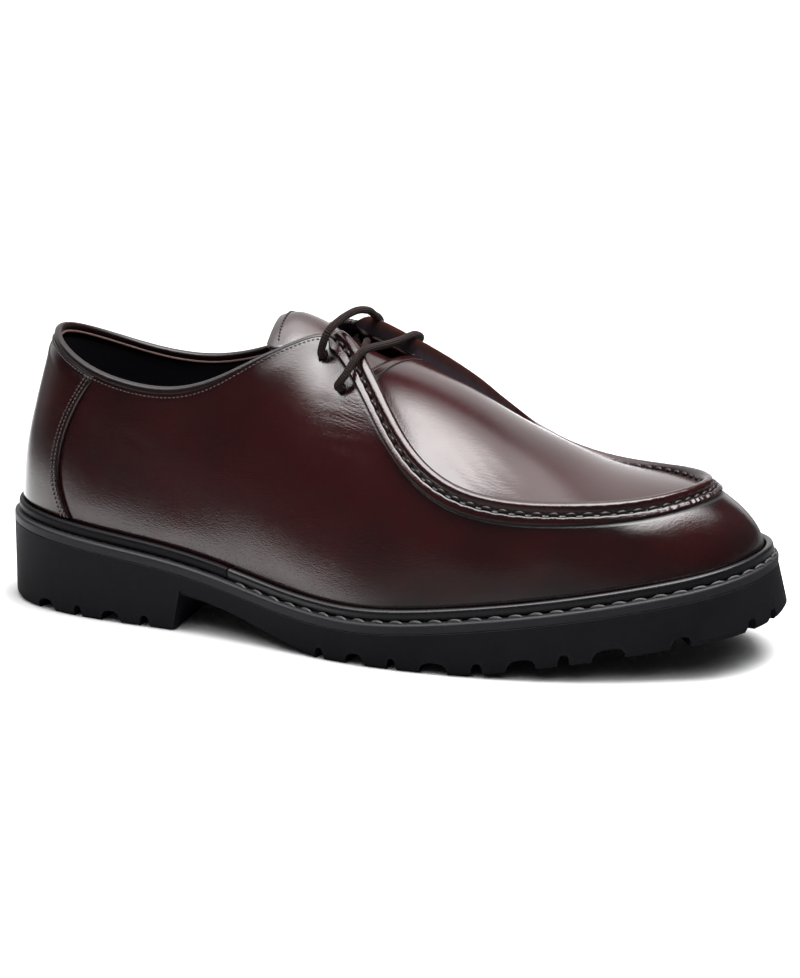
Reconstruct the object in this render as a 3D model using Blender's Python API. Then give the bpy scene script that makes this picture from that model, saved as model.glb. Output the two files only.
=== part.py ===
"""Moc toe shoe for the right foot: lugged rubber sole, hollow leather upper, tongue and lace.

Sizes are in millimetres, measured from the back of the sole along the foot, and become metres as a mesh is made.
The toe points to +X, the outer side of the foot to -Y, and the sole stands on the floor at Z = 0.
"""

import math

import bmesh
import bpy
import numpy as np

# Driving sizes in millimetres
LEATHER = 2.0
BAND = 4.0
LEDGE = 5.2
SEAT = 0.15
CLEAR = 0.3
TOE_FLARE = 3.5
BEAD_WIDTH = 3.0
BEAD_HEIGHT = 4.4
STRIP = 4.8
STRIP_RISE = 1.5
COUNTER = 1.2
BINDING = 0.9
BINDING_DEPTH = 3.2
TONGUE = 2.2
INSOLE = 3.0
LACE_RADIUS = 1.45
EYELET_RADIUS = 2.4
EYELET_SIDES = 12
LUG_DEPTH = 4.5
LUG_REACH = 13.0
BREAST_LOW = 77.3
BREAST_HIGH = 80.2

# One row per station round the shoe: heel back, outer side, toe, inner side
# Columns: the sole's edge in plan, the upper's top edge, and how far the wall bulges low down and high up
SOLE_X, SOLE_Y, EDGE_X, EDGE_Y, EDGE_Z, LOW_OUT, HIGH_OUT = range(7)
STATIONS = (
    (-1.0, 0.5, 17.5, 0.5, 105.5, 1.5, 4.0),
    (6.6, -18.5, 22.5, -12.3, 102.6, 1.5, 3.5),
    (27.0, -29.2, 36.5, -22.0, 96.3, 1.5, 2.5),
    (50.0, -33.6, 54.5, -27.0, 92.0, 2.0, 2.5),
    (73.0, -36.0, 74.5, -29.0, 91.0, 2.0, 2.5),
    (93.0, -38.4, 92.0, -28.6, 96.0, 1.5, 4.5),
    (110.0, -42.2, 108.0, -25.4, 104.8, 1.0, 11.0),
    (125.0, -46.4, 123.0, -20.8, 111.6, 0.5, 19.0),
    (138.0, -49.8, 133.5, -15.6, 113.0, 0.0, 26.0),
    (150.0, -52.4, 146.5, -25.2, 104.4, 0.5, 18.0),
    (163.0, -54.0, 159.5, -35.0, 87.8, 1.0, 9.5),
    (178.0, -54.4, 172.5, -41.0, 73.3, 1.5, 5.5),
    (196.0, -53.7, 189.5, -43.4, 63.5, 2.0, 4.0),
    (215.0, -51.7, 210.0, -43.0, 60.1, 2.0, 4.0),
    (237.0, -47.2, 229.5, -39.5, 60.0, 1.5, 4.5),
    (258.0, -40.1, 246.0, -33.2, 60.3, 1.0, 5.5),
    (276.0, -31.5, 258.5, -24.5, 61.0, 0.5, 7.0),
    (289.8, -18.0, 268.3, -12.5, 61.9, 0.5, 8.5),
    (297.8, 4.5, 274.0, 4.5, 62.2, 0.5, 10.0),
    (291.2, 25.5, 265.8, 18.5, 61.3, 0.5, 8.5),
    (277.0, 37.5, 255.0, 27.5, 60.0, 0.5, 7.0),
    (258.0, 46.5, 242.0, 34.5, 58.6, 1.0, 5.5),
    (236.0, 52.5, 226.0, 39.5, 58.6, 1.5, 4.5),
    (212.0, 54.2, 207.0, 42.0, 62.4, 2.0, 4.0),
    (190.0, 51.8, 190.0, 39.8, 72.2, 2.0, 4.5),
    (168.0, 46.6, 174.0, 32.8, 86.2, 2.0, 8.0),
    (149.0, 41.2, 156.0, 23.6, 99.4, 2.0, 16.0),
    (129.0, 36.6, 134.0, 15.6, 112.8, 2.5, 24.0),
    (110.0, 35.0, 116.0, 22.0, 106.8, 2.5, 15.0),
    (90.0, 35.0, 93.0, 27.4, 96.3, 2.0, 5.5),
    (68.0, 36.6, 71.0, 29.2, 91.0, 2.0, 2.5),
    (46.0, 37.2, 51.0, 27.8, 92.3, 2.0, 2.5),
    (24.0, 33.8, 35.0, 22.8, 97.0, 1.5, 2.5),
    (6.6, 19.8, 22.5, 13.2, 102.6, 1.5, 3.5),
)

# Stations, counted in rows of the table, where the outline changes its kind
ROWS = len(STATIONS)
TOE_ROW = 18.0
THROAT_ROWS = (9.1, 26.1)
FACING_ROWS = (7.85, 8.15, 26.85, 27.15)
BEAD_JOINT_ROWS = (5.35, 28.55)

# Eyelets by side and level: station row and distance below the edge
EYELETS = {("outer", "upper"): (7.94, 7.8), ("outer", "lower"): (8.72, 13.0),
           ("inner", "upper"): (27.06, 7.0), ("inner", "lower"): (26.35, 11.5)}

# Height of the bead as a share of its full height, and how deep the apron is set behind it, against station row
BEAD_SWELL = ((9.5, 0.65), (12.5, 1.0), (22.0, 1.0), (23.8, 1.3), (25.6, 1.3), (26.2, 0.8))
APRON_SINK = ((22.0, 0.0), (23.6, 1.6), (25.2, 3.2))

# Height of the sole's top edge, of the arch underneath and of the apron's crest, as rows of (x, z)
SOLE_TOP = ((-6, 35.6), (0, 35.0), (40, 31.0), (80, 26.4), (115, 19.8), (150, 16.6), (190, 20.2), (230, 26.2),
            (265, 32.2), (300, 38.8), (306, 40.0))
ARCH = ((BREAST_HIGH, 14.5), (90, 12.9), (108, 8.4), (126, 3.0), (138, 0.0))
SPRING_START, SPRING_END, SPRING_SLOPE = 184.0, 206.0, 0.166
APRON_CREST = ((145, 106.4), (155, 102.8), (172, 94.9), (198, 82.2), (220, 72.8), (234, 67.6), (250, 64.8),
               (280, 62.6))

# Front edge of the heel counter: share of the wall's height against station row, outer and inner side alike
COUNTER_FRONT = ((0.0, 2.16), (0.2, 1.90), (0.45, 1.82), (0.7, 1.96), (1.0, 2.36))

# Tongue along its middle: x, top height, half width and how far its sides hang below the middle
TONGUE_LINE = ((176, 89.6, 12.0, 2.2), (164, 95.5, 13.5, 2.6), (152, 100.6, 13.2, 3.0), (142, 103.8, 12.6, 3.4),
               (132, 107.8, 12.8, 4.0), (122, 112.4, 15.6, 5.8), (114, 115.7, 18.0, 7.2),
               (109, 116.6, 17.0, 6.4), (106.5, 116.6, 13.5, 4.2))

# The lace between its holes, as rows of x, y and height
UPPER_BAR = ((135.0, -24.5, 116.4), (137.4, -17.5, 119.8), (140.0, -7.0, 121.2), (141.4, 3.0, 119.4),
             (141.6, 10.0, 117.0), (141.0, 16.5, 115.0), (139.6, 21.5, 112.4))
LACE_CROSSING = ((136.2, 15.4, 101.0), (137.2, 13.2, 104.2), (139.6, 7.0, 106.6), (142.4, -3.0, 107.4),
                 (143.4, -12.5, 103.8), (142.6, -19.0, 99.0))
LOWER_BAR = ((144.6, -31.6, 103.4), (147.2, -26.6, 109.4), (149.0, -20.0, 111.4), (151.0, -2.0, 110.4),
             (152.6, 9.0, 110.2), (153.6, 15.5, 110.2), (154.2, 21.0, 109.6), (154.4, 26.0, 106.4))

# Tread notches on both sides, and grooves across the middle: place along the foot and width at the floor
SIDE_NOTCHES = ((21, 7.0), (36, 3.0), (50.5, 7.0), (65, 3.4), (140, 3.0), (154.5, 6.5), (169, 3.0), (185, 9.0),
                (201, 3.6), (217, 9.0), (232, 3.6), (247.5, 10.0), (271.5, 6.0), (291, 4.0))
CROSS_GROOVES = ((30, 4.0), (56, 4.0), (162, 4.0), (185, 5.0), (209, 5.0), (233, 5.0), (257, 4.0))


def control_rows(table):
    """Control rows of a closed cubic B-spline that runs close to the rows of the table and evens them out."""
    rows = np.array(table, float)
    return 2 * rows - (np.roll(rows, 1, 0) + 4 * rows + np.roll(rows, -1, 0)) / 6


CONTROL = control_rows(STATIONS)


def station(t):
    """Every column of the station table at places t, counted in rows."""
    t = np.asarray(t, float)
    whole = np.floor(t).astype(int)
    f = (t - whole)[..., None]
    weights = ((1 - f) ** 3, 3 * f**3 - 6 * f**2 + 4, -3 * f**3 + 3 * f**2 + 3 * f + 1, f**3)
    return sum(w * CONTROL[(whole + k - 1) % ROWS] for k, w in enumerate(weights)) / 6


def smooth(rows, x):
    """A natural cubic spline through rows of (x, value)."""
    xs, ys = np.array(rows, float).T
    step = np.diff(xs)
    size = len(xs)
    matrix = np.eye(size)
    right = np.zeros(size)
    for i in range(1, size - 1):
        matrix[i, i - 1:i + 2] = step[i - 1], 2 * (step[i - 1] + step[i]), step[i]
        right[i] = 6 * ((ys[i + 1] - ys[i]) / step[i] - (ys[i] - ys[i - 1]) / step[i - 1])
    bend = np.linalg.solve(matrix, right)
    x = np.clip(x, xs[0], xs[-1])
    i = np.clip(np.searchsorted(xs, x) - 1, 0, size - 2)
    a = (xs[i + 1] - x) / step[i]
    b = 1 - a
    return a * ys[i] + b * ys[i + 1] + ((a**3 - a) * bend[i] + (b**3 - b) * bend[i + 1]) * step[i] ** 2 / 6


def unit(v):
    return v / np.linalg.norm(v, axis=-1, keepdims=True)


def ease(x, low, high):
    f = np.clip((x - low) / (high - low), 0, 1)
    return f * f * (3 - 2 * f)


def stack(*columns):
    return np.stack(np.broadcast_arrays(*columns), -1)


def sole_top(x):
    return smooth(SOLE_TOP, x)


def ground(x):
    """Underside of the sole: heel, breast, arch, flat tread and toe spring."""
    heel = np.interp(x, (BREAST_LOW, BREAST_HIGH), (0, ARCH[0][1]))
    rise = np.clip(x - SPRING_START, 0, SPRING_END - SPRING_START)
    spring = SPRING_SLOPE * (rise**2 / (2 * (SPRING_END - SPRING_START)) + np.clip(x - SPRING_END, 0, None))
    return np.where(x < BREAST_HIGH, heel, np.where(x < ARCH[-1][0], smooth(ARCH, x), spring))


def outline(t, inset=0.0):
    """Plan points of the sole's top edge moved inwards, and the level outward direction there."""
    t = np.asarray(t, float)
    run = station(t + 0.01)[..., :EDGE_X] - station(t - 0.01)[..., :EDGE_X]
    out = unit(stack(run[..., 1], -run[..., 0]))
    return station(t)[..., :EDGE_X] - out * np.asarray(inset, float)[..., None], out


def wall(t, share):
    """Outer face of the upper's wall, from the sole at share 0 to its top edge at share 1."""
    t, s = np.broadcast_arrays(np.asarray(t, float), np.asarray(share, float))
    row = station(t)
    plan, out = outline(t, LEDGE)
    foot = np.concatenate([plan, (sole_top(plan[..., 0]) + SEAT)[..., None]], -1)
    edge = row[..., EDGE_X:LOW_OUT]
    rise = (edge - foot)[..., 2:]
    level = np.concatenate([out, np.zeros_like(rise)], -1)
    upright = np.array([0.0, 0.0, 1.0])
    low = foot + level * row[..., [LOW_OUT]] + upright * rise * 0.34
    high = edge + level * row[..., [HIGH_OUT]] - upright * rise * 0.30
    s = s[..., None]
    return (1 - s) ** 3 * foot + 3 * (1 - s) ** 2 * s * low + 3 * (1 - s) * s**2 * high + s**3 * edge


def wall_frame(t, share):
    """Point, outward normal and upward direction on the wall, and the wall's length per unit of share."""
    t, s = np.broadcast_arrays(np.asarray(t, float), np.asarray(share, float))
    along = wall(t + 0.02, s) - wall(t - 0.02, s)
    up = (wall(t, s + 0.005) - wall(t, s - 0.005)) / 0.01
    return wall(t, s), unit(np.cross(along, up)), unit(up), np.linalg.norm(up, axis=-1)


def below_edge(t, distance):
    """Share of the wall that lies a distance under its top edge."""
    return 1 - distance / wall_frame(t, np.ones_like(t))[3]


def share_at_height(t, height):
    """Share of the wall at a height above the sole, for each station."""
    shares = np.linspace(0, 0.5, 60)
    rise = wall(np.asarray(t)[:, None], shares[None])[..., 2]
    return np.array([np.interp(height, line - line[0], shares) for line in rise])


def seam_frame(t):
    """Edge point, direction into the apron and direction out of the leather along the top edge."""
    edge, normal, up, _ = wall_frame(t, np.ones_like(t))
    run = unit(station(t + 0.02)[..., EDGE_X:LOW_OUT] - station(t - 0.02)[..., EDGE_X:LOW_OUT])
    out = normal + np.array([0.0, 0.0, 1.6])
    out = unit(out - (out * run).sum(-1, keepdims=True) * run)
    return edge, np.cross(out, run), out, normal, up


def edge_profile(t):
    """Rows of points over the top edge, outside to inside, and the matching inside row.

    Along facing and apron: strip, stitch channel and bead. Along the collar: a round edge.
    """
    edge, inward, out, normal, up = seam_frame(t)
    strip_foot = wall(t, below_edge(t, STRIP))
    strip_end = wall(t, below_edge(t, 0.9))
    strip_normal = wall_frame(t, below_edge(t, STRIP))[1]
    seam = [strip_foot, strip_foot + strip_normal * STRIP_RISE, strip_end + normal * STRIP_RISE]
    swell = np.interp(t, *np.array(BEAD_SWELL).T)[:, None]
    sink = np.interp(t, *np.array(APRON_SINK).T)[:, None]
    for across, height in ((0.2, 0.1), (0.8, 2.4), (2.4, 3.3), (4.0, 2.3)):
        seam.append(edge + inward * across + out * height * swell)
    seam.append(edge + inward * 4.6 + out * (0.2 - sink))
    radius = LEATHER / 2
    collar = []
    for angle in np.linspace(0, math.pi, len(seam)):
        collar.append(edge + normal * radius * (math.cos(angle) - 1) + up * radius * math.sin(angle))
    inside_seam = edge + inward * 4.2 - out * (1.7 + sink)
    inside_collar = wall(t, below_edge(t, 1.2)) - normal * LEATHER
    share = seam_share(t)[:, None]
    rows = [a * share + b * (1 - share) for a, b in zip(seam, collar)]
    return rows, inside_seam * share + inside_collar * (1 - share)


def seam_share(t):
    """One along the moc seam, nought along the collar."""
    return ease(t, *FACING_ROWS[:2]) * (1 - ease(t, *FACING_ROWS[2:]))


def apron(left, right, crest, shares):
    """Points across the apron from its outer to its inner seam, over a crest of the given height."""
    top = (crest - (left[2] + right[2]) / 8) * 4 / 3
    low = left + (right - left) * 0.36
    high = right + (left - right) * 0.36
    low[2] = high[2] = top
    s = shares[:, None]
    return (1 - s) ** 3 * left + 3 * (1 - s) ** 2 * s * low + 3 * (1 - s) * s**2 * high + s**3 * right


def apron_crest(left, right):
    return float(smooth(APRON_CREST, (left[0] + right[0]) / 2))


def material(name, colour, roughness):
    made = bpy.data.materials.new(name)
    made.use_nodes = True
    shader = made.node_tree.nodes["Principled BSDF"]
    shader.inputs["Base Color"].default_value = (*colour, 1)
    shader.inputs["Roughness"].default_value = roughness
    made.diffuse_color = (*colour, 1)
    return made


def solid(name, points, faces, look):
    """An object from points in millimetres and faces, closed and turned outwards."""
    shift = np.array([SOLE_MIDDLE[0], SOLE_MIDDLE[1], 0.0])
    mesh = bpy.data.meshes.new(name)
    mesh.from_pydata(((np.asarray(points) - shift) / 1000).tolist(), [], [list(map(int, f)) for f in faces])
    form = bmesh.new()
    form.from_mesh(mesh)
    bmesh.ops.recalc_face_normals(form, faces=form.faces)
    form.to_mesh(mesh)
    form.free()
    made = bpy.data.objects.new(name, mesh)
    bpy.context.scene.collection.objects.link(made)
    if look:
        mesh.materials.append(look)
    return made


def grid_faces(rows, columns, start=0, closed=False):
    """Quads of a grid of points listed row after row."""
    faces = []
    for i in range(rows - 1):
        for j in range(columns if closed else columns - 1):
            k = (j + 1) % columns
            faces.append([start + i * columns + j, start + i * columns + k,
                          start + (i + 1) * columns + k, start + (i + 1) * columns + j])
    return faces


def shell(name, outer, inner, look):
    """A closed sheet between two grids of the same size."""
    rows, columns = outer.shape[:2]
    count = rows * columns
    faces = grid_faces(rows, columns) + grid_faces(rows, columns, count)
    rim = [j for j in range(columns)]
    rim += [i * columns + columns - 1 for i in range(1, rows)]
    rim += [(rows - 1) * columns + j for j in range(columns - 2, -1, -1)]
    rim += [i * columns for i in range(rows - 2, 0, -1)]
    for a, b in zip(rim, rim[1:] + rim[:1]):
        faces.append([a, b, b + count, a + count])
    return solid(name, np.concatenate([outer.reshape(-1, 3), inner.reshape(-1, 3)]), faces, look)


def tube(name, sections, look):
    """A closed solid through a row of section loops, capped at both ends."""
    sections = np.asarray(sections)
    count, size = sections.shape[:2]
    faces = grid_faces(count, size, closed=True)
    faces += [list(range(size)), [(count - 1) * size + i for i in range(size)]]
    return solid(name, sections.reshape(-1, 3), faces, look)


def cut(target, cutter):
    cutter.hide_render = True
    cutter.display_type = "WIRE"
    tool = target.modifiers.new(cutter.name, "BOOLEAN")
    tool.operation = "DIFFERENCE"
    tool.solver = "EXACT"
    tool.object = cutter


def plate_stations():
    """Stations round the sole in pairs that share their place along the foot."""
    t = np.linspace(0, ROWS, 6801)
    x = outline(t)[0][:, 0]
    toe = int(np.argmax(x))
    bends = [BREAST_LOW] + [row[0] for row in ARCH] + [SPRING_START, SPRING_END]
    places = np.concatenate([x[:toe:130], bends])
    places = np.unique(np.round(places[(places > x[0] + 0.2) & (places < x[toe] - 0.2)], 2))
    places = places[np.concatenate([[True], np.diff(places) > 0.6])]
    outer = np.interp(places, np.maximum.accumulate(x[:toe + 1]), t[:toe + 1])
    inner = np.interp(places, np.maximum.accumulate(x[toe:][::-1]), t[toe:][::-1])
    return np.concatenate([[0.0], outer, [t[toe]], inner[::-1]])


def plate(name, rings, look):
    """A solid from stacked rings of paired stations, floored and topped with strips across the foot."""
    size = len(rings[0])
    faces = grid_faces(len(rings), size, closed=True)
    for start in (0, (len(rings) - 1) * size):
        for k in range(size // 2):
            strip = [k, k + 1, size - k - 1, (size - k) % size]
            faces.append([start + j for j in dict.fromkeys(strip)])
    return solid(name, np.concatenate(rings), faces, look)


def ring(t, inset, height):
    """A ring round the foot, moved in from the sole's edge, at a height that may depend on x."""
    plan = outline(t, inset)[0]
    return stack(plan[:, 0], plan[:, 1], height(plan[:, 0]))


def block(corners):
    """A cutter body from eight corners, four below and four above."""
    faces = [[0, 1, 2, 3], [4, 5, 6, 7]] + [[i, (i + 1) % 4, (i + 1) % 4 + 4, i + 4] for i in range(4)]
    return np.array(corners, float), faces


def joined(name, bodies):
    """One object of several separate cutter bodies."""
    points = []
    faces = []
    for body_points, body_faces in bodies:
        start = sum(map(len, points))
        points.append(body_points)
        faces += [[start + i for i in face] for face in body_faces]
    return solid(name, np.concatenate(points), faces, None)


def notch(t, width):
    """A tread notch at the sole's edge, narrower at its roof than at the floor."""
    plan, out = outline(np.array([t]))
    side = np.array([-out[0, 1], out[0, 0]])
    corners = []
    for below, half in ((True, width * 0.62), (False, width * 0.40)):
        for along, reach in ((-half, 6.0), (half, 6.0), (half, -LUG_REACH), (-half, -LUG_REACH)):
            x, y = plan[0] + side * along + out[0] * reach
            floor = float(ground(np.array(max(x, ARCH[-1][0]) if x > BREAST_HIGH else min(x, BREAST_LOW))))
            corners.append((x, y, floor - 2.0 if below else floor + LUG_DEPTH))
    return block(corners)


def cross_groove(x, width, t):
    """A groove across the middle of the tread."""
    plan = outline(t, LUG_REACH - 2.0)[0]
    half = len(t) // 2
    outer = np.interp(x, plan[:half, 0], plan[:half, 1])
    inner = np.interp(x, plan[half:, 0][::-1], plan[half:, 1][::-1])
    corners = []
    for below, spread in ((True, 0.6), (False, 0.38)):
        for along, y in ((-1, outer), (1, outer), (1, inner), (-1, inner)):
            place = x + along * width * spread
            floor = float(ground(np.array(place)))
            corners.append((place, y, floor - 2.0 if below else floor + LUG_DEPTH - 0.6))
    return block(corners)


def bead(name, t, look):
    """The round bead in the angle between upper and midsole, over a run of stations."""
    foot = wall_frame(t, np.zeros_like(t))
    level = unit(foot[1] * np.array([1.0, 1.0, 0.0]))
    base = foot[0]
    loop = []
    for height in (0.2, BEAD_HEIGHT * 0.55, BEAD_HEIGHT):
        share = share_at_height(t, height)
        point, normal = wall_frame(t, share)[:2]
        loop.append(point + normal * CLEAR)
    for width, height in ((0.45, 1.03), (0.8, 0.86), (1.0, 0.55), (1.0, 0.2)):
        loop.append(base + level * (CLEAR + BEAD_WIDTH * width) + np.array([0, 0, BEAD_HEIGHT * height]))
    outer = base + level * (CLEAR + BEAD_WIDTH * 0.9)
    outer[:, 2] = sole_top(outer[:, 0]) + SEAT
    loop.append(outer)
    loop[0][:, 2] = sole_top(loop[0][:, 0]) + SEAT
    return tube(name, np.stack(loop, 1), look)


def sweep(path, radius, sides):
    """Section loops of a round cord along a path."""
    path = np.asarray(path)
    run = unit(np.gradient(path, axis=0))
    side = unit(np.cross(run[0], (0.3, 0.2, 1.0)))
    loops = []
    for point, ahead in zip(path, run):
        side = unit(side - ahead * (side @ ahead))
        other = np.cross(ahead, side)
        turn = np.linspace(0, 2 * math.pi, sides, endpoint=False)[:, None]
        loops.append(point + radius * (np.cos(turn) * side + np.sin(turn) * other))
    return loops


def rounded_path(points, step):
    """A smooth path through points, with even steps."""
    points = np.asarray(points, float)
    padded = np.concatenate([2 * points[:1] - points[1:2], points, 2 * points[-1:] - points[-2:-1]])
    path = []
    for a, b, c, d in zip(padded, padded[1:], padded[2:], padded[3:]):
        for f in np.arange(0, 1, min(1.0, step / np.linalg.norm(c - b))):
            bend = (2 * a - 5 * b + 4 * c - d) * f**2 + (3 * b - a - 3 * c + d) * f**3
            path.append(0.5 * (2 * b + (c - a) * f + bend))
    return np.array(path + [points[-1]])


# Clear the scene
for old in list(bpy.data.objects):
    bpy.data.objects.remove(old, do_unlink=True)

# Middle of the sole in plan, which becomes the part's origin
rounds = plate_stations()


def flare(t):
    return -TOE_FLARE * ease(outline(t)[0][:, 0], 262, 296)


sole_plan = outline(rounds, flare(rounds))[0]
SOLE_MIDDLE = (sole_plan.min(0) + sole_plan.max(0)) / 2

rubber = material("black rubber", (0.012, 0.012, 0.014), 0.6)
band_rubber = material("grey rubber", (0.045, 0.045, 0.048), 0.5)
bead_rubber = material("bead rubber", (0.015, 0.015, 0.016), 0.4)
leather = material("burgundy leather", (0.06, 0.012, 0.012), 0.3)
counter_leather = material("counter leather", (0.06, 0.012, 0.012), 0.32)
binding_leather = material("dark binding", (0.02, 0.014, 0.014), 0.5)
tongue_leather = material("tongue leather", (0.055, 0.012, 0.012), 0.35)
lining = material("black lining", (0.015, 0.014, 0.014), 0.8)
cord = material("waxed cord", (0.03, 0.022, 0.02), 0.55)

# Outsole with its heel block, tread notches and cross grooves
def outsole_roof(x):
    return sole_top(x) - BAND - SEAT


outsole = plate("outsole", [
    ring(rounds, flare(rounds) + 1.2, ground),
    ring(rounds, flare(rounds), lambda x: np.minimum(ground(x) + 2.0, outsole_roof(x) - 4)),
    ring(rounds, flare(rounds) * 0.1, lambda x: outsole_roof(x) - 1.5),
    ring(rounds, 0.0 * rounds, outsole_roof),
], rubber)
dense_t = np.linspace(0, ROWS, 6801)
dense_x = outline(dense_t)[0][:, 0]
toe_index = int(np.argmax(dense_x))
side_notches = []
for place, width in SIDE_NOTCHES:
    for half in (slice(0, toe_index), slice(toe_index, None)):
        nearest = dense_t[half][np.argmin(abs(dense_x[half] - place))]
        side_notches.append(notch(nearest, width))
toe = dense_t[toe_index]
for end, width in ((0.0, 6.0), (toe - 0.45, 4.0), (toe + 0.45, 4.0)):
    side_notches.append(notch(end, width))
cut(outsole, joined("notch_cutter", side_notches))
cut(outsole, joined("groove_cutter", [cross_groove(x, width, rounds) for x, width in CROSS_GROOVES]))

# Midsole band with an eased top edge
midsole = plate("midsole", [
    ring(rounds, 0.0 * rounds, lambda x: sole_top(x) - BAND),
    ring(rounds, 0.0 * rounds, lambda x: sole_top(x) - 1.5),
    ring(rounds, 0.0 * rounds + 0.5, lambda x: sole_top(x) - 0.45),
    ring(rounds, 0.0 * rounds + 1.6, sole_top),
], band_rubber)

# Insole board inside the upper
board_inset = 0.0 * rounds + LEDGE + LEATHER + CLEAR + 0.4
insole = plate("insole", [
    ring(rounds, board_inset, lambda x: sole_top(x) + SEAT),
    ring(rounds, board_inset, lambda x: sole_top(x) + SEAT + INSOLE),
], lining)

# Upper: wall, moc seam and apron as one hollow skin
outer_apron_t = np.concatenate([np.linspace(THROAT_ROWS[0], 15, 15), np.linspace(15, TOE_ROW, 13)[1:]])
inner_apron_t = np.concatenate([np.linspace(TOE_ROW, 21, 13)[1:], np.linspace(21, THROAT_ROWS[1], 15)[1:]])
columns_t = np.concatenate([
    np.linspace(0, 2.5, 13)[:-1], np.linspace(2.5, 7, 13)[:-1], np.linspace(7, THROAT_ROWS[0], 14)[:-1],
    outer_apron_t, inner_apron_t,
    np.linspace(THROAT_ROWS[1], 28, 13)[1:], np.linspace(28, 31.5, 10)[1:], np.linspace(31.5, ROWS, 14)[1:-1],
])
columns = len(columns_t)
strip_share = 1 - (1 - below_edge(columns_t, STRIP)) * seam_share(columns_t)
upper_rows = [wall(columns_t, strip_share * f) for f in (0, 0.12, 0.3, 0.5, 0.74)]
over_edge, inside_edge = edge_profile(columns_t)
upper_rows += over_edge
inside_rows = [inside_edge]
for f in (0.92, 0.62, 0.28, 0.0):
    share = strip_share * f
    point, normal = wall_frame(columns_t, share)[:2]
    if f == 0.0:
        normal = unit(normal * np.array([1.0, 1.0, 0.0]))
    inside_rows.append(point - normal * LEATHER)
points = np.concatenate(upper_rows + inside_rows)
top_row = len(upper_rows) - 1
faces = grid_faces(len(upper_rows), columns, closed=True)
faces += grid_faces(len(inside_rows), columns, (top_row + 1) * columns, closed=True)
last = (top_row + len(inside_rows)) * columns
faces += [[j, (j + 1) % columns, last + (j + 1) % columns, last + j] for j in range(columns)]
first = int(np.argmin(abs(columns_t - THROAT_ROWS[0])))
tip = int(np.argmin(abs(columns_t - TOE_ROW)))
final = int(np.argmin(abs(columns_t - THROAT_ROWS[1])))
outer_top = top_row * columns
inner_top = (top_row + 1) * columns
for j in range(columns):
    if not first <= j < final:
        k = (j + 1) % columns
        faces.append([outer_top + j, outer_top + k, inner_top + k, inner_top + j])
shares = np.linspace(0, 1, 8)
extra = []
rows_of_apron = {outer_top: [], inner_top: []}
for start, drop in ((outer_top, 0.0), (inner_top, 2.1)):
    for step in range(tip - first):
        a, b = start + first + step, start + final - step
        crest = apron_crest(points[a], points[b]) - drop
        between = apron(points[a], points[b], crest, shares)[1:-1]
        index = len(points) + len(extra)
        extra.extend(between)
        rows_of_apron[start].append([a] + list(range(index, index + len(between))) + [b])
    rows = rows_of_apron[start]
    for one, two in zip(rows, rows[1:]):
        faces += [[one[i], one[i + 1], two[i + 1], two[i]] for i in range(len(one) - 1)]
    faces += [[rows[-1][i], rows[-1][i + 1], start + tip] for i in range(len(rows[-1]) - 1)]
for i in range(len(shares) - 1):
    one, two = rows_of_apron[outer_top][0], rows_of_apron[inner_top][0]
    faces.append([one[i], one[i + 1], two[i + 1], two[i]])
upper = solid("upper", np.concatenate([points, extra]), faces, leather)

# Eyelet holes through the facings
eyelets = {}
hole_bodies = []
for key, (row, setback) in EYELETS.items():
    t = np.array([row])
    point, normal = wall_frame(t, below_edge(t, setback))[:2]
    eyelets[key] = point[0], normal[0]
    loops = sweep([point[0] - normal[0] * 6, point[0] + normal[0] * 6], EYELET_RADIUS, EYELET_SIDES)
    ends = [list(range(EYELET_SIDES)), list(range(EYELET_SIDES, 2 * EYELET_SIDES))]
    hole_bodies.append((np.concatenate(loops), grid_faces(2, EYELET_SIDES, closed=True) + ends))
cut(upper, joined("eyelet_cutter", hole_bodies))

# Heel counter over the back of the quarters
counter_shares = np.linspace(0, 1, 8)
outer_grid = []
inner_grid = []
for f in counter_shares:
    front = float(smooth(COUNTER_FRONT, f))
    t = np.linspace(-front, front, 21)
    low = share_at_height(t, BEAD_HEIGHT + 0.7)
    high = below_edge(t, BINDING_DEPTH + 1.0)
    point, normal = wall_frame(t, low + (high - low) * f)[:2]
    outer_grid.append(point + normal * (CLEAR + COUNTER))
    inner_grid.append(point + normal * CLEAR)
heel_counter = shell("heel_counter", np.array(outer_grid), np.array(inner_grid), counter_leather)

# Binding folded over the collar
outer_end = columns_t[(columns_t >= 7) & (columns_t < FACING_ROWS[0] - 0.15)]
inner_end = columns_t[(columns_t <= 28) & (columns_t > FACING_ROWS[3] + 0.15)] - ROWS
t = np.concatenate([inner_end, np.linspace(inner_end[-1], -2.5, 9)[1:-1], np.linspace(-2.5, 2.5, 22),
                    np.linspace(2.5, outer_end[0], 11)[1:-1], outer_end])
edge, normal, up, _ = wall_frame(t, np.ones_like(t))
middle = edge - normal * LEATHER / 2
sections = []
for air, order in ((CLEAR + BINDING, 1), (CLEAR, -1)):
    side = LEATHER / 2 + air
    skirt_out = wall_frame(t, below_edge(t, BINDING_DEPTH))
    skirt_in = wall_frame(t, below_edge(t, BINDING_DEPTH))
    face = [skirt_out[0] + skirt_out[1] * air]
    for angle in np.linspace(0, math.pi, 4):
        face.append(middle + normal * side * math.cos(angle) + up * side * math.sin(angle))
    face.append(skirt_in[0] - skirt_in[1] * (LEATHER + air))
    sections += face[::order]
collar_binding = tube("collar_binding", np.stack(sections, 1), binding_leather)

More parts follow.
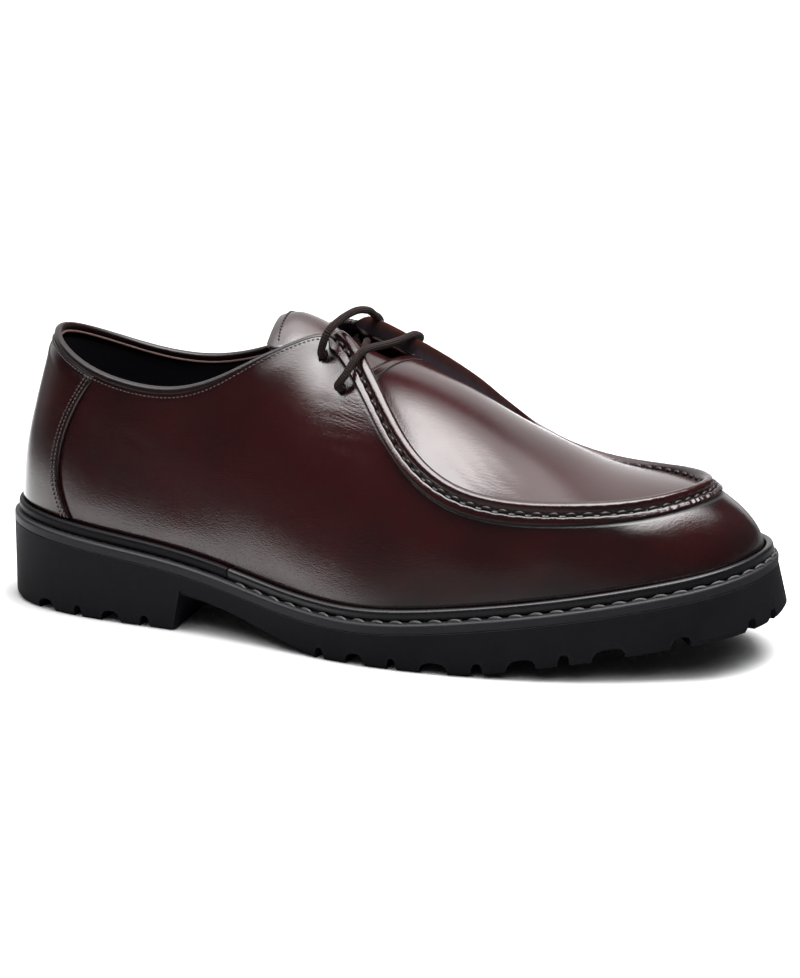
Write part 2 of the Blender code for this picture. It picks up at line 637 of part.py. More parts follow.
# Beads round the foot of the upper
joint_outer, joint_inner = BEAD_JOINT_ROWS
front_t = np.concatenate([np.linspace(joint_outer + 0.015, 15, 17), np.linspace(15, 21, 22)[1:],
                          np.linspace(21, joint_inner - 0.015, 14)[1:]])
storm_welt = bead("storm_welt", front_t, bead_rubber)
rear_t = np.concatenate([np.linspace(joint_inner - ROWS + 0.015, -2.5, 8), np.linspace(-2.5, 2.5, 23)[1:],
                         np.linspace(2.5, joint_outer - 0.015, 8)[1:]])
heel_rand = bead("heel_rand", rear_t, bead_rubber)

# Tongue under the throat
line = np.array(TONGUE_LINE, float)
slope = np.gradient(line[:, 1], line[:, 0])
outer_grid = []
inner_grid = []
for (x, z, half, hang), tilt in zip(line, slope):
    across = np.linspace(-1, 1, 9)
    top = stack(x + 0 * across, across * half, z - hang * across**2)
    normal = unit(stack(-tilt + 0 * across, 2 * hang * across / half, 1 + 0 * across))
    outer_grid.append(top)
    inner_grid.append(top - normal * TONGUE)
tongue = shell("tongue", np.array(outer_grid), np.array(inner_grid), tongue_leather)

# Lace through the holes, over the facings and once across under them
def through(side, level, order):
    """Points of the lace through one eyelet, from inside to outside, or the other way with order -1."""
    point, normal = eyelets[side, level]
    return [point + normal * depth for depth in (-4.6, -1.0, 3.2)][::order]


path = through("outer", "upper", 1) + list(UPPER_BAR) + through("inner", "upper", -1)
path += list(LACE_CROSSING)
path += through("outer", "lower", 1) + list(LOWER_BAR) + through("inner", "lower", -1)
lace = tube("lace", sweep(rounded_path(path, 3.7), LACE_RADIUS, 6), cord)
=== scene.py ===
"""Looks of a right moc toe shoe: polished burgundy leather, round lace, storm welt and lugged rubber sole.

The shoe's sizes are in millimetres from the back of the sole, toe to +X and outer side to -Y, and piece()
makes them metres. Floor, light and camera are in metres.
"""

import math
from functools import partial

import bmesh
import bpy
import numpy as np
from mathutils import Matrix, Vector


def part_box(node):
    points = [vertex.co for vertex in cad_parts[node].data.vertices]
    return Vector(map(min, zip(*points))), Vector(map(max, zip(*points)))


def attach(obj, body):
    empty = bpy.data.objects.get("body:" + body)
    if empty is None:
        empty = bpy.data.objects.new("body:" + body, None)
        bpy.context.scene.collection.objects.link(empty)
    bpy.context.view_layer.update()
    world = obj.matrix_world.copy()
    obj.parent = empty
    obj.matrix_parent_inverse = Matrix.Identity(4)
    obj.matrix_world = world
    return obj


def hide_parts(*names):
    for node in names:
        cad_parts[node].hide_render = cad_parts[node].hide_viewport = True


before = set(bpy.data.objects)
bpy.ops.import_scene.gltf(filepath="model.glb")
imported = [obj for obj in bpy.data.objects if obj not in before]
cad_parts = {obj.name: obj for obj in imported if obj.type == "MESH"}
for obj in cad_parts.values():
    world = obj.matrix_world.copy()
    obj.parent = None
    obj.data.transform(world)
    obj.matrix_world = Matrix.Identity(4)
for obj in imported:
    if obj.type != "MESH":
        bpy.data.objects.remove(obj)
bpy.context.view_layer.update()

# Upper
# Quarters, vamp and apron are smooth calf leather about 2 mm thick, pulled over a last and polished dark at
# the edges. Wall and apron meet in a raised hand-sewn seam: a turned strip, a stitched channel and a bead.
LEATHER = 2.0
LEDGE = 5.2
SEAT = 0.15

# Where the wall is pulled outwards, as shares of its rise: up from the sole and down from its top edge
LOW_PULL = 0.34
HIGH_PULL = 0.30

# Seam from the wall's edge inwards: strip, channel with its awl holes, bead, and the apron's own edge
SEAM_LEAN = 1.6
STRIP_RISE = 1.5
STRIP_SETBACK = 0.5
STITCH_PULL = 0.3
GATHER_PITCH = 3.1
WIDE_GATHER_PITCH = 5.1
CHANNEL_PLACE = 0.1
CHANNEL_DEPTH = 0.35
AWL_DEPTH = 0.9
BEAD_RISE = 3.5
BEAD_MIDDLE = 2.5
BEAD_HALF = 2.2
BEAD_TURNS = 15
BEAD_START = 0.16
BEAD_DIMPLE = 0.15
BEAD_SAG = 0.012
APRON_PLACE = 4.65
APRON_DROP = 0.15
APRON_LEATHER = 2.1
INSIDE_PLACE = 4.2
INSIDE_DROP = 1.7
INSIDE_COLLAR_DROP = 1.2

# Section of the turned strip: place across from cut edge to channel, height on the facings, height in front
STRIP_SECTION = (
    (0.0, 0.0, 0.0), (0.012, 0.45, 0.42), (0.04, 0.82, 0.74), (0.10, 1.0, 0.86), (0.25, 1.0, 0.89),
    (0.45, 0.94, 0.93), (0.65, 0.86, 0.97), (0.80, 0.78, 0.97), (0.90, 0.68, 0.88), (0.96, 0.50, 0.66),
    (1.0, 0.25, 0.30))

# One row per station round the shoe: heel back, outer side, toe, inner side
# Columns: the sole's edge in plan, the upper's top edge, and how far the wall bulges low down and high up
SOLE, EDGE, LOW_OUT, HIGH_OUT = slice(0, 2), slice(2, 5), 5, 6
STATIONS = (
    (-1.0, 0.5, 17.5, 0.5, 105.5, 1.5, 4.0),
    (6.6, -18.5, 22.5, -12.3, 102.6, 1.5, 3.5),
    (27.0, -29.2, 36.5, -22.0, 96.3, 1.5, 2.5),
    (50.0, -33.6, 54.5, -27.0, 92.0, 2.0, 2.5),
    (73.0, -36.0, 74.5, -29.0, 91.0, 2.0, 2.5),
    (93.0, -38.4, 92.0, -28.6, 96.0, 1.5, 4.5),
    (110.0, -42.2, 108.0, -25.4, 104.8, 1.0, 11.0),
    (125.0, -46.4, 123.0, -20.8, 111.6, 0.5, 19.0),
    (138.0, -49.8, 133.5, -15.6, 113.0, 0.0, 26.0),
    (150.0, -52.4, 146.5, -25.2, 104.4, 0.5, 18.0),
    (163.0, -54.0, 159.5, -35.0, 87.8, 1.0, 9.5),
    (178.0, -54.4, 172.5, -41.0, 73.3, 1.5, 5.5),
    (196.0, -53.7, 189.5, -43.4, 63.5, 2.0, 4.0),
    (215.0, -51.7, 210.0, -43.0, 60.1, 2.0, 4.0),
    (237.0, -47.2, 229.5, -39.5, 60.0, 1.5, 4.5),
    (258.0, -40.1, 246.0, -33.2, 60.3, 1.0, 5.5),
    (276.0, -31.5, 258.5, -24.5, 61.0, 0.5, 8.5),
    (289.8, -18.0, 268.3, -12.5, 61.9, 0.5, 11.5),
    (297.8, 4.5, 274.0, 4.5, 62.2, 0.5, 13.5),
    (291.2, 25.5, 265.8, 18.5, 61.3, 0.5, 11.0),
    (277.0, 37.5, 255.0, 27.5, 60.0, 0.5, 7.0),
    (258.0, 46.5, 242.0, 34.5, 58.6, 1.0, 5.5),
    (236.0, 52.5, 226.0, 39.5, 58.6, 1.5, 4.5),
    (212.0, 54.2, 207.0, 42.0, 62.4, 2.0, 4.0),
    (190.0, 51.8, 190.0, 39.8, 72.2, 2.0, 4.5),
    (168.0, 46.6, 174.0, 32.8, 86.2, 2.0, 8.0),
    (149.0, 41.2, 156.0, 23.6, 99.4, 2.0, 16.0),
    (129.0, 36.6, 134.0, 15.6, 112.8, 2.5, 24.0),
    (110.0, 35.0, 116.0, 22.0, 106.8, 2.5, 15.0),
    (90.0, 35.0, 93.0, 27.4, 96.3, 2.0, 5.5),
    (68.0, 36.6, 71.0, 29.2, 91.0, 2.0, 2.5),
    (46.0, 37.2, 51.0, 27.8, 92.3, 2.0, 2.5),
    (24.0, 33.8, 35.0, 22.8, 97.0, 1.5, 2.5),
    (6.6, 19.8, 22.5, 13.2, 102.6, 1.5, 3.5),
)

# Stations, counted in rows of the table, where the outline changes its kind; four rows ease in and out
ROWS = len(STATIONS)
TOE_ROW = 18.0
THROAT_ROWS = (9.1, 26.1)
FACING_ROWS = (7.85, 8.15, 26.85, 27.15)
FRONT_ROWS = (10.5, 13.0, 23.5, 25.5)
GATHER_ROWS = (15.6, 17.2, 19.4, 21.2)
FAR_FACING_ROWS = (23.9, 24.1, 26.9, 27.1)
FLESH_TAPER_ROWS = (23.9, 25.0)

# Eyelets by side and level: station row and distance below the edge; depth and reach of the dent round each
EYELET_RADIUS = 1.6
EYELET_DENT = 0.30
DENT_REACH = 3.4
EYELETS = {("outer", "upper"): (7.94, 7.8), ("outer", "lower"): (8.72, 13.0),
           ("inner", "upper"): (27.06, 7.0), ("inner", "lower"): (26.35, 11.5)}

# Width of the strip against station row: wide on the facings, narrow along the front and round the toe
STRIP_WIDTHS = ((10.0, 4.8), (12.5, 3.9), (15.0, 3.2), (21.0, 3.2), (24.0, 4.0), (26.0, 4.8))

# Against station row: height of the bead as a share, how square it is, how deep the apron is set behind it
BEAD_SWELL = ((9.5, 0.75), (12.5, 1.0), (18.8, 1.0), (20.2, 0.85), (21.8, 0.88), (22.6, 0.88), (23.4, 0.78),
              (23.8, 0.57), (24.6, 0.55), (25.0, 0.73), (25.6, 0.88), (26.0, 0.88), (26.2, 0.8))
BEAD_POWER = ((22.0, 2.3), (23.8, 4.5), (26.0, 4.5), (26.4, 2.6))
APRON_SINK = ((22.0, 0.0), (23.6, 1.6), (25.2, 3.2))

# Height of the sole's top edge and of the apron's crest, as rows of (x, z)
SOLE_TOP = ((-6, 35.6), (0, 35.0), (40, 31.0), (80, 26.4), (115, 19.8), (150, 16.6), (190, 20.2),
            (230, 26.2), (265, 32.2), (300, 38.8), (306, 40.0))
APRON_CREST = ((145, 106.4), (155, 102.8), (172, 94.9), (198, 82.2), (220, 72.8), (234, 67.6), (250, 64.8),
               (280, 62.6))

# Length of one hand stitch against station row: short on the facings and round the toe
STITCH_PITCHES = ((7.8, 4.7), (10.5, 5.0), (12.5, 6.1), (15.5, 6.1), (17.0, 4.8), (19.0, 4.8), (21.0, 5.4),
                  (24.0, 5.2), (27.2, 4.8))

# Soft troughs in the leather: start, end, depth, half width; by (x, z) on the wall, by (x, y) on the apron
WALL_CREASES = ((133, 92.5, 150, 91.0, 0.20, 2.0), (134, 88.0, 152, 86.5, 0.24, 2.1),
                (136, 83.4, 153, 81.6, 0.20, 2.0), (139, 79.0, 154, 77.0, 0.14, 2.0),
                (56, 74.0, 67, 67.0, 0.14, 2.0))
APRON_CREASES = ((181, -29.5, 199, -36.5, 0.30, 1.6), (186, -26.0, 206, -35.0, 0.26, 1.5),
                 (193, -24.0, 214, -33.5, 0.22, 1.4), (199, -36.0, 219, -37.2, 0.20, 1.3),
                 (176, 22.0, 190, 30.0, 0.20, 1.8))


# Control rows of a closed cubic B-spline that runs close to the table's rows and evens them out
rows = np.array(STATIONS)
CONTROL = 2 * rows - (np.roll(rows, 1, 0) + 4 * rows + np.roll(rows, -1, 0)) / 6


def station(t):
    """Every column of the station table at places t, counted in rows."""
    t = np.asarray(t, float)
    whole = np.floor(t).astype(int)
    f = (t - whole)[..., None]
    weights = ((1 - f) ** 3, 3 * f**3 - 6 * f**2 + 4, -3 * f**3 + 3 * f**2 + 3 * f + 1, f**3)
    return sum(w * CONTROL[(whole + k - 1) % ROWS] for k, w in enumerate(weights)) / 6


def smooth(rows, x):
    """A natural cubic spline through rows of (x, value)."""
    xs, ys = np.array(rows, float).T
    step = np.diff(xs)
    size = len(xs)
    matrix = np.eye(size)
    right = np.zeros(size)
    for i in range(1, size - 1):
        matrix[i, i - 1:i + 2] = step[i - 1], 2 * (step[i - 1] + step[i]), step[i]
        right[i] = 6 * ((ys[i + 1] - ys[i]) / step[i] - (ys[i] - ys[i - 1]) / step[i - 1])
    bend = np.linalg.solve(matrix, right)
    x = np.clip(x, xs[0], xs[-1])
    i = np.clip(np.searchsorted(xs, x) - 1, 0, size - 2)
    a = (xs[i + 1] - x) / step[i]
    b = 1 - a
    return a * ys[i] + b * ys[i + 1] + ((a**3 - a) * bend[i] + (b**3 - b) * bend[i + 1]) * step[i] ** 2 / 6


def unit(v):
    return v / np.linalg.norm(v, axis=-1, keepdims=True)


def ease(x, low, high):
    f = np.clip((x - low) / (high - low), 0, 1)
    return f * f * (3 - 2 * f)


def window(x, low, full, ending, high):
    """One in the middle, easing in from low to full and out from ending to high."""
    return ease(x, low, full) * (1 - ease(x, ending, high))


def stack(*columns):
    return np.stack(np.broadcast_arrays(*columns), -1)


def rows_at(table, t):
    """Values between the rows of a table of (place, value)."""
    return np.interp(t, *np.array(table).T)


def fading(gap, strength, reach):
    """A strength that dies away with the distance from an edge."""
    return strength * np.exp(-gap / reach)


def bell(gap, half):
    """One in the middle, dying away to both sides."""
    return np.exp(-(gap / half) ** 2)


def curve(start, low, high, end, s):
    """Points of a cubic curve at shares s, from its start to its end."""
    return (1 - s) ** 3 * start + 3 * (1 - s) ** 2 * s * low + 3 * (1 - s) * s**2 * high + s**3 * end


def lengths(line):
    """Running length along a line of points."""
    return np.concatenate([[0.0], np.cumsum(np.linalg.norm(np.diff(line, axis=0), axis=1))])


def at_places(line, known, places):
    """Points of a line at places, where known holds the place of each of its points."""
    return stack(*[np.interp(places, known, column) for column in np.asarray(line).T])


def sole_top(x):
    return smooth(SOLE_TOP, x)


def outline(t, inset=0.0):
    """Plan points of the sole's top edge moved inwards, and the level outward direction there."""
    t = np.asarray(t, float)
    run = station(t + 0.01)[..., SOLE] - station(t - 0.01)[..., SOLE]
    out = unit(stack(run[..., 1], -run[..., 0]))
    return station(t)[..., SOLE] - out * np.asarray(inset, float)[..., None], out


def wall(t, share):
    """Outer face of the upper's wall, from the sole at share 0 to its top edge at share 1."""
    t, s = np.broadcast_arrays(np.asarray(t, float), np.asarray(share, float))
    row = station(t)
    plan, out = outline(t, LEDGE)
    foot = np.concatenate([plan, (sole_top(plan[..., 0]) + SEAT)[..., None]], -1)
    edge = row[..., EDGE]
    rise = (edge - foot)[..., 2:]
    level = np.concatenate([out, np.zeros_like(rise)], -1)
    upright = np.array([0.0, 0.0, 1.0])
    low = foot + level * row[..., [LOW_OUT]] + upright * rise * LOW_PULL
    high = edge + level * row[..., [HIGH_OUT]] - upright * rise * HIGH_PULL
    return curve(foot, low, high, edge, s[..., None])


def wall_frame(t, share):
    """Point, outward normal and upward direction on the wall, and the wall's length per unit of share."""
    t, s = np.broadcast_arrays(np.asarray(t, float), np.asarray(share, float))
    along = wall(t + 0.02, s) - wall(t - 0.02, s)
    up = (wall(t, s + 0.005) - wall(t, s - 0.005)) / 0.01
    return wall(t, s), unit(np.cross(along, up)), unit(up), np.linalg.norm(up, axis=-1)


def below_edge(t, distance):
    """Share of the wall that lies a distance under its top edge."""
    return 1 - distance / wall_frame(t, np.ones_like(t))[3]


def seam_share(t):
    """One along the moc seam, nought along the collar."""
    return window(t, *FACING_ROWS)


def seam_frame(t):
    """Edge point, directions into the apron and out of the leather, and the wall's own, along the edge."""
    edge, normal, up, _ = wall_frame(t, np.ones_like(t))
    run = unit(station(t + 0.02)[..., EDGE] - station(t - 0.02)[..., EDGE])
    out = normal + np.array([0.0, 0.0, SEAM_LEAN])
    out = unit(out - (out * run).sum(-1, keepdims=True) * run)
    return edge, np.cross(out, run), out, normal, up


# Running length and stitch count along the moc seam, read back by station row
seam_t = np.linspace(FACING_ROWS[0], FACING_ROWS[3], 4000)
seam_arc = lengths(station(seam_t)[:, EDGE])
seam_pitch = rows_at(STITCH_PITCHES, seam_t)
seam_stitches = np.concatenate([[0.0], np.cumsum(np.diff(seam_arc) / seam_pitch[1:])])


def rounded_step(turn, power):
    """Place across, from 0 to 1, and height of a rounded ridge at a turn from 0 to pi."""
    c = math.cos(turn)
    return 0.5 - 0.5 * math.copysign(1, c) * abs(c) ** (2 / power), abs(math.sin(turn)) ** (2 / power)


def toe_gather(t):
    """One round the toe, where the strip is gathered into small pleats."""
    return window(t, *GATHER_ROWS)


def strip_width(t):
    """Width of the turned strip at stations."""
    return rows_at(STRIP_WIDTHS, t)


def edge_rows(t):
    """Rows of points over the top edge, outside to inside, their darkness, and the matching inside row."""
    edge, inward, out, normal, up = seam_frame(t)
    pinch = 0.5 + 0.5 * np.cos(2 * math.pi * np.interp(t, seam_t, seam_stitches))
    arc = np.interp(t, seam_t, seam_arc)
    wander = 2.2 * np.sin(arc / 2.3) + 1.4 * np.sin(arc / 5.7)
    narrow = np.sin(2 * math.pi * arc / GATHER_PITCH + wander)
    wide = np.sin(2 * math.pi * arc / WIDE_GATHER_PITCH + 2.1 * np.sin(arc / 3.7))
    pleat = toe_gather(t) * (0.5 * narrow + 0.5 * wide)
    rise = STRIP_RISE * (1 + 0.10 * toe_gather(t) + 0.17 * pleat)
    front = window(t, *FRONT_ROWS)
    seam = []
    dark = []
    for across, facing_height, front_height in STRIP_SECTION:
        height = facing_height + (front_height - facing_height) * front
        below = strip_width(t) - across * (strip_width(t) - STRIP_SETBACK - STITCH_PULL * pinch)
        point, strip_normal = wall_frame(t, below_edge(t, below))[:2]
        seam.append(point + strip_normal * (rise * height)[:, None])
        # Painted shade: the strip darkens at its cut edge (partly the edge's own dark colour) and along its
        # inner ridge in front
        extra_tone = 1.2 * math.exp(-across / 0.05) + 1.1 * front * math.exp((across - 1) / 0.25)
        # Pleat crests are painted lighter and their hollows darker: painted light and shade on the gathers
        dark.append(0.25 + extra_tone - 0.25 * pleat)
    seam.append(edge + inward * CHANNEL_PLACE - out * (CHANNEL_DEPTH + AWL_DEPTH * pinch**3)[:, None])
    # Darker at each awl hole: painted shade in the holes
    dark.append(0.3 + 1.5 * pinch**2)
    swell = BEAD_RISE * rows_at(BEAD_SWELL, t) * (1 - BEAD_SAG * pinch)
    sink = rows_at(APRON_SINK, t)[:, None]
    power = rows_at(BEAD_POWER, t)
    for turn in np.linspace(BEAD_START, math.pi, BEAD_TURNS):
        across, height = rounded_step(turn, power)
        dimple = BEAD_DIMPLE * pinch * max(math.cos(turn), 0)
        reach = BEAD_MIDDLE - BEAD_HALF + 2 * BEAD_HALF * across + dimple
        seam.append(edge + inward * reach[:, None] + out * (swell * height)[:, None])
        # The bead is painted darker low on its flanks and lighter on its crown: painted shade and light
        dark.append(0.75 - 0.55 * height)
    seam.append(edge + inward * APRON_PLACE - out * (APRON_DROP + sink))
    # The apron's edge at the bead's foot is painted darkest: painted shade in the crease
    dark.append(np.full(len(t), 1.3))
    radius = LEATHER / 2
    collar = []
    for angle in np.linspace(0, math.pi, len(seam)):
        collar.append(edge + normal * radius * (math.cos(angle) - 1) + up * radius * math.sin(angle))
    share = seam_share(t)[:, None]
    rows = [a * share + b * (1 - share) for a, b in zip(seam, collar)]
    inside_seam = edge + inward * INSIDE_PLACE - out * (INSIDE_DROP + sink)
    inside_collar = wall(t, below_edge(t, INSIDE_COLLAR_DROP)) - normal * LEATHER
    return rows, dark, inside_seam * share + inside_collar * (1 - share)


def troughs(points, axes, table):
    """Depth of the listed creases at points, read in the plane of two axes."""
    depth = np.zeros(points.shape[:-1])
    for x0, z0, x1, z1, deep, half in table:
        start = np.array([x0, z0], float)
        run = np.array([x1, z1]) - start
        offset = points[..., axes] - start
        share = np.clip(offset @ run / (run @ run), 0, 1)
        gap = np.linalg.norm(offset - share[..., None] * run, axis=-1)
        depth += deep * bell(gap, half) * np.sin(math.pi * np.clip(share, 0.03, 0.97)) ** 0.5
    return depth


def unevenness(p):
    """Slight waves that hand lasting leaves in the leather, in millimetres."""
    x, y, z = p[..., 0], p[..., 1], p[..., 2]
    waves = 0.10 * np.sin(0.085 * x + 0.10 * z + 0.6) + 0.08 * np.sin(0.15 * x - 0.08 * z + 0.05 * y)
    return waves + 0.05 * np.sin(0.21 * z + 0.12 * x + 0.16 * y + 2.0)


def quads(index, closed=False):
    """Quads between neighbouring entries of a grid of point numbers."""
    if closed:
        index = np.hstack([index, index[:, :1]])
    corners = index[:-1, :-1], index[:-1, 1:], index[1:, 1:], index[1:, :-1]
    return np.stack(corners, -1).reshape(-1, 4).tolist()


def tube(loops):
    """Points and faces of a tube through loops of points, with both ends closed."""
    number = np.arange(loops.shape[0] * loops.shape[1]).reshape(loops.shape[:2])
    return loops.reshape(-1, 3), quads(number, closed=True) + number[[0, -1]].tolist()


def merged(bodies):
    """Points and faces of several bodies put together."""
    points = []
    faces = []
    for body_points, body_faces in bodies:
        start = sum(map(len, points))
        points.append(body_points)
        faces += [[start + i for i in face] for face in body_faces]
    return np.concatenate(points), faces


midsole_low = np.array(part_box("midsole")[0]) * 1000
sole_plan = outline(np.linspace(0, ROWS, 3401))[0]
SHIFT = np.array([*(sole_plan.min(0) - midsole_low[:2]), 0.0])


def piece(name, points, faces, *finishes, turns=None):
    """A smooth object from points in millimetres; turns gives a cord's (turn, length) per face corner."""
    mesh = bpy.data.meshes.new(name)
    mesh.from_pydata(((np.asarray(points) - SHIFT) / 1000).tolist(), [], faces)
    if turns is not None:
        mesh.uv_layers.new(name="thread").uv.foreach_set("vector", np.asarray(turns, np.float32).ravel())
    form = bmesh.new()
    form.from_mesh(mesh)
    bmesh.ops.recalc_face_normals(form, faces=form.faces)
    form.to_mesh(mesh)
    form.free()
    mesh.shade_smooth()
    for finish in finishes:
        mesh.materials.append(finish)
    made = bpy.data.objects.new(name, mesh)
    bpy.context.scene.collection.objects.link(made)
    return made


def mark(made, name, values):
    """A value per point that a material reads by name."""
    layer = made.data.attributes.new(name, "FLOAT", "POINT")
    layer.data.foreach_set("value", np.asarray(values, np.float32).ravel())


def cut(target, cutter, overlapping=False):
    """Takes the cutter's bodies, which may overlap each other, out of the target and deletes the cutter."""
    tool = target.modifiers.new("cut", "BOOLEAN")
    tool.operation = "DIFFERENCE"
    tool.solver = "EXACT"
    tool.use_self = overlapping
    tool.object = cutter
    settle(target)
    bpy.data.objects.remove(cutter, do_unlink=True)


def settle(made):
    """Turns the object's modifiers into its mesh."""
    bpy.context.view_layer.update()
    graph = bpy.context.evaluated_depsgraph_get()
    mesh = bpy.data.meshes.new_from_object(made.evaluated_get(graph))
    made.modifiers.clear()
    made.data = mesh


def add(tree, kind, sockets=(), **settings):
    """A shader node; each named socket gets a value, or a link from another node's output."""
    made = tree.nodes.new("ShaderNode" + kind)
    for key, value in settings.items():
        setattr(made, key, value)
    for key, value in dict(sockets).items():
        if isinstance(value, bpy.types.NodeSocket):
            tree.links.new(value, made.inputs[key])
        else:
            made.inputs[key].default_value = value
    return made


def calculate(tree, operation, *values, clamp=False):
    """Output of a math node."""
    return add(tree, "Math", enumerate(values), operation=operation, use_clamp=clamp).outputs[0]


def product(tree, *values):
    """Output of values multiplied together."""
    made = values[0]
    for value in values[1:]:
        made = calculate(tree, "MULTIPLY", made, value)
    return made


def mix_colours(tree, share, one, two):
    """Output of a colour mix from one to two."""
    return add(tree, "Mix", {0: share, 6: one, 7: two}, data_type="RGBA").outputs[2]


def place_on(tree):
    """Output with the place on the object, in metres."""
    return add(tree, "TexCoord").outputs["Object"]


def noise(tree, scale, detail, rough=0.5):
    """Output of a noise that is fixed to the object."""
    sockets = {"Vector": place_on(tree), "Scale": scale, "Detail": detail, "Roughness": rough}
    return add(tree, "TexNoise", sockets).outputs[0]


def effect(name, **inputs):
    """An empty node group that puts out colour, roughness and height, with its inner input and output."""
    tree = bpy.data.node_groups.new(name, "ShaderNodeTree")
    outputs = {"Color": "Color", "Roughness": "Float", "Height": "Float"}
    for way, sockets in (("INPUT", inputs), ("OUTPUT", outputs)):
        for label, kind in sockets.items():
            tree.interface.new_socket(name=label, in_out=way, socket_type="NodeSocket" + kind)
    return tree, tree.nodes.new("NodeGroupInput").outputs, tree.nodes.new("NodeGroupOutput").inputs


def finish(name, **constants):
    """A material with its Principled shader, constants set on the shader's own sockets."""
    made = bpy.data.materials.new(name)
    made.use_nodes = True
    shader = made.node_tree.nodes["Principled BSDF"]
    for label, value in constants.items():
        shader.inputs[label.replace("_", " ")].default_value = value
    return made, made.node_tree, shader


def relief(tree, shader, height, strength, distance):
    """Bump from a height to the shader's normal."""
    bump = add(tree, "Bump", {"Height": height, "Strength": strength, "Distance": distance})
    tree.links.new(bump.outputs["Normal"], shader.inputs["Normal"])


def dress(tree, shader, group, strength, distance, **values):
    """Places an effect in a material and links what it puts out to the shader."""
    look = add(tree, "Group", values, node_tree=group).outputs
    tree.links.new(look["Color"], shader.inputs["Base Color"])
    tree.links.new(look["Roughness"], shader.inputs["Roughness"])
    relief(tree, shader, look["Height"], strength, distance)


# Polished leather: red patches under a dark burnished veil that gathers at seams and edges, with fine pores
# The dark veil's mark also carries painted shade, laid in the seam's groove, awl holes and creases
polished, given, result = effect("polished leather", Burnish="Float", Red="Color", Dark="Color",
                                 Gloss="Float", Crease="Float", Fold="Float")
leather = partial(calculate, polished)
patches = noise(polished, 17.0, 3.0)
mottle = noise(polished, 130.0, 4.0, 0.6)
wide = leather("MULTIPLY_ADD", patches, 2.3, -1.00)
narrow = leather("MULTIPLY_ADD", mottle, 0.5, -0.25)
veil = leather("ADD", leather("ADD", wide, narrow), given["Burnish"], clamp=True)
polished.links.new(mix_colours(polished, veil, given["Red"], given["Dark"]), result["Color"])
pore_sockets = {"Vector": place_on(polished), "Scale": 1900.0, "Randomness": 1.0}
pores = add(polished, "TexVoronoi", pore_sockets).outputs["Distance"]
skin = noise(polished, 900.0, 3.0)
grain = leather("MULTIPLY_ADD", pores, 0.8, leather("MULTIPLY_ADD", mottle, 0.3, skin))
wander = leather("MULTIPLY_ADD", mottle, 3.0, given["Fold"])
furrow = leather("SINE", leather("MULTIPLY", wander, 2 * math.pi))
furrow = leather("POWER", leather("MULTIPLY_ADD", furrow, 0.5, 0.5), 2.5)
creased = leather("MULTIPLY_ADD", leather("MULTIPLY", furrow, given["Crease"]), -0.55, grain)
polished.links.new(creased, result["Height"])
sheen = leather("MULTIPLY_ADD", mottle, 0.20, -0.10)
raw = leather("ADD", given["Burnish"], -0.6, clamp=True)
sheen = leather("MULTIPLY_ADD", raw, 0.4, sheen)
polished.links.new(leather("ADD", sheen, given["Gloss"], clamp=True), result["Roughness"])

RED = (0.029, 0.0050, 0.0055, 1)
DARK = (0.0064, 0.0030, 0.0033, 1)


def leather_finish(name, gloss, strength, red=RED, dark=DARK, shine=0.5, coat=0.15):
    """Polished leather that reads the piece's own burnished tone and painted shade, and its creases."""
    made, tree, shader = finish(name, Specular_IOR_Level=shine, Coat_Weight=coat, Coat_Roughness=0.09)
    marks = {label: add(tree, "Attribute", attribute_name=label.lower()).outputs["Fac"]
             for label in ("Burnish", "Crease", "Fold")}
    dress(tree, shader, polished, strength, 0.00025, Red=red, Dark=dark, Gloss=gloss, **marks)
    return made


upper_leather = leather_finish("upper leather", gloss=0.17, strength=0.17)

# Lining leather: matte black, with the brown flesh side of the facings showing inside the throat
lining_leather, lining_tree, lining_shader = finish("lining leather", Specular_IOR_Level=0.0)
flesh = add(lining_tree, "Attribute", attribute_name="flesh").outputs["Fac"]
lining_grain = noise(lining_tree, 420.0, 4.0)
flesh_tone = mix_colours(lining_tree, lining_grain, (0.026, 0.0088, 0.0065, 1), (0.050, 0.0185, 0.0130, 1))
black_tone = mix_colours(lining_tree, lining_grain, (0.011, 0.0103, 0.0135, 1), (0.017, 0.0158, 0.0200, 1))
lining_tone = mix_colours(lining_tree, flesh, black_tone, flesh_tone)
lining_tree.links.new(lining_tone, lining_shader.inputs["Base Color"])
lining_rough = calculate(lining_tree, "MULTIPLY_ADD", lining_grain, 0.2, 0.6)
lining_tree.links.new(lining_rough, lining_shader.inputs["Roughness"])
relief(lining_tree, lining_shader, lining_grain, 0.25, 0.0003)

# Columns round the upper: about a millimetre apart, closer round the toe, in pairs across the apron
outer_apron_t = np.concatenate([np.linspace(THROAT_ROWS[0], 15, 96), np.linspace(15, TOE_ROW, 121)[1:]])
inner_apron_t = np.concatenate([np.linspace(TOE_ROW, 21, 121)[1:], np.linspace(21, THROAT_ROWS[1], 96)[1:]])
columns_t = np.concatenate([np.linspace(0, THROAT_ROWS[0], 160)[:-1], outer_apron_t, inner_apron_t,
                            np.linspace(THROAT_ROWS[1], ROWS, 140)[1:-1]])
columns = len(columns_t)
first = int(np.argmin(abs(columns_t - THROAT_ROWS[0])))
tip = int(np.argmin(abs(columns_t - TOE_ROW)))
final = int(np.argmin(abs(columns_t - THROAT_ROWS[1])))

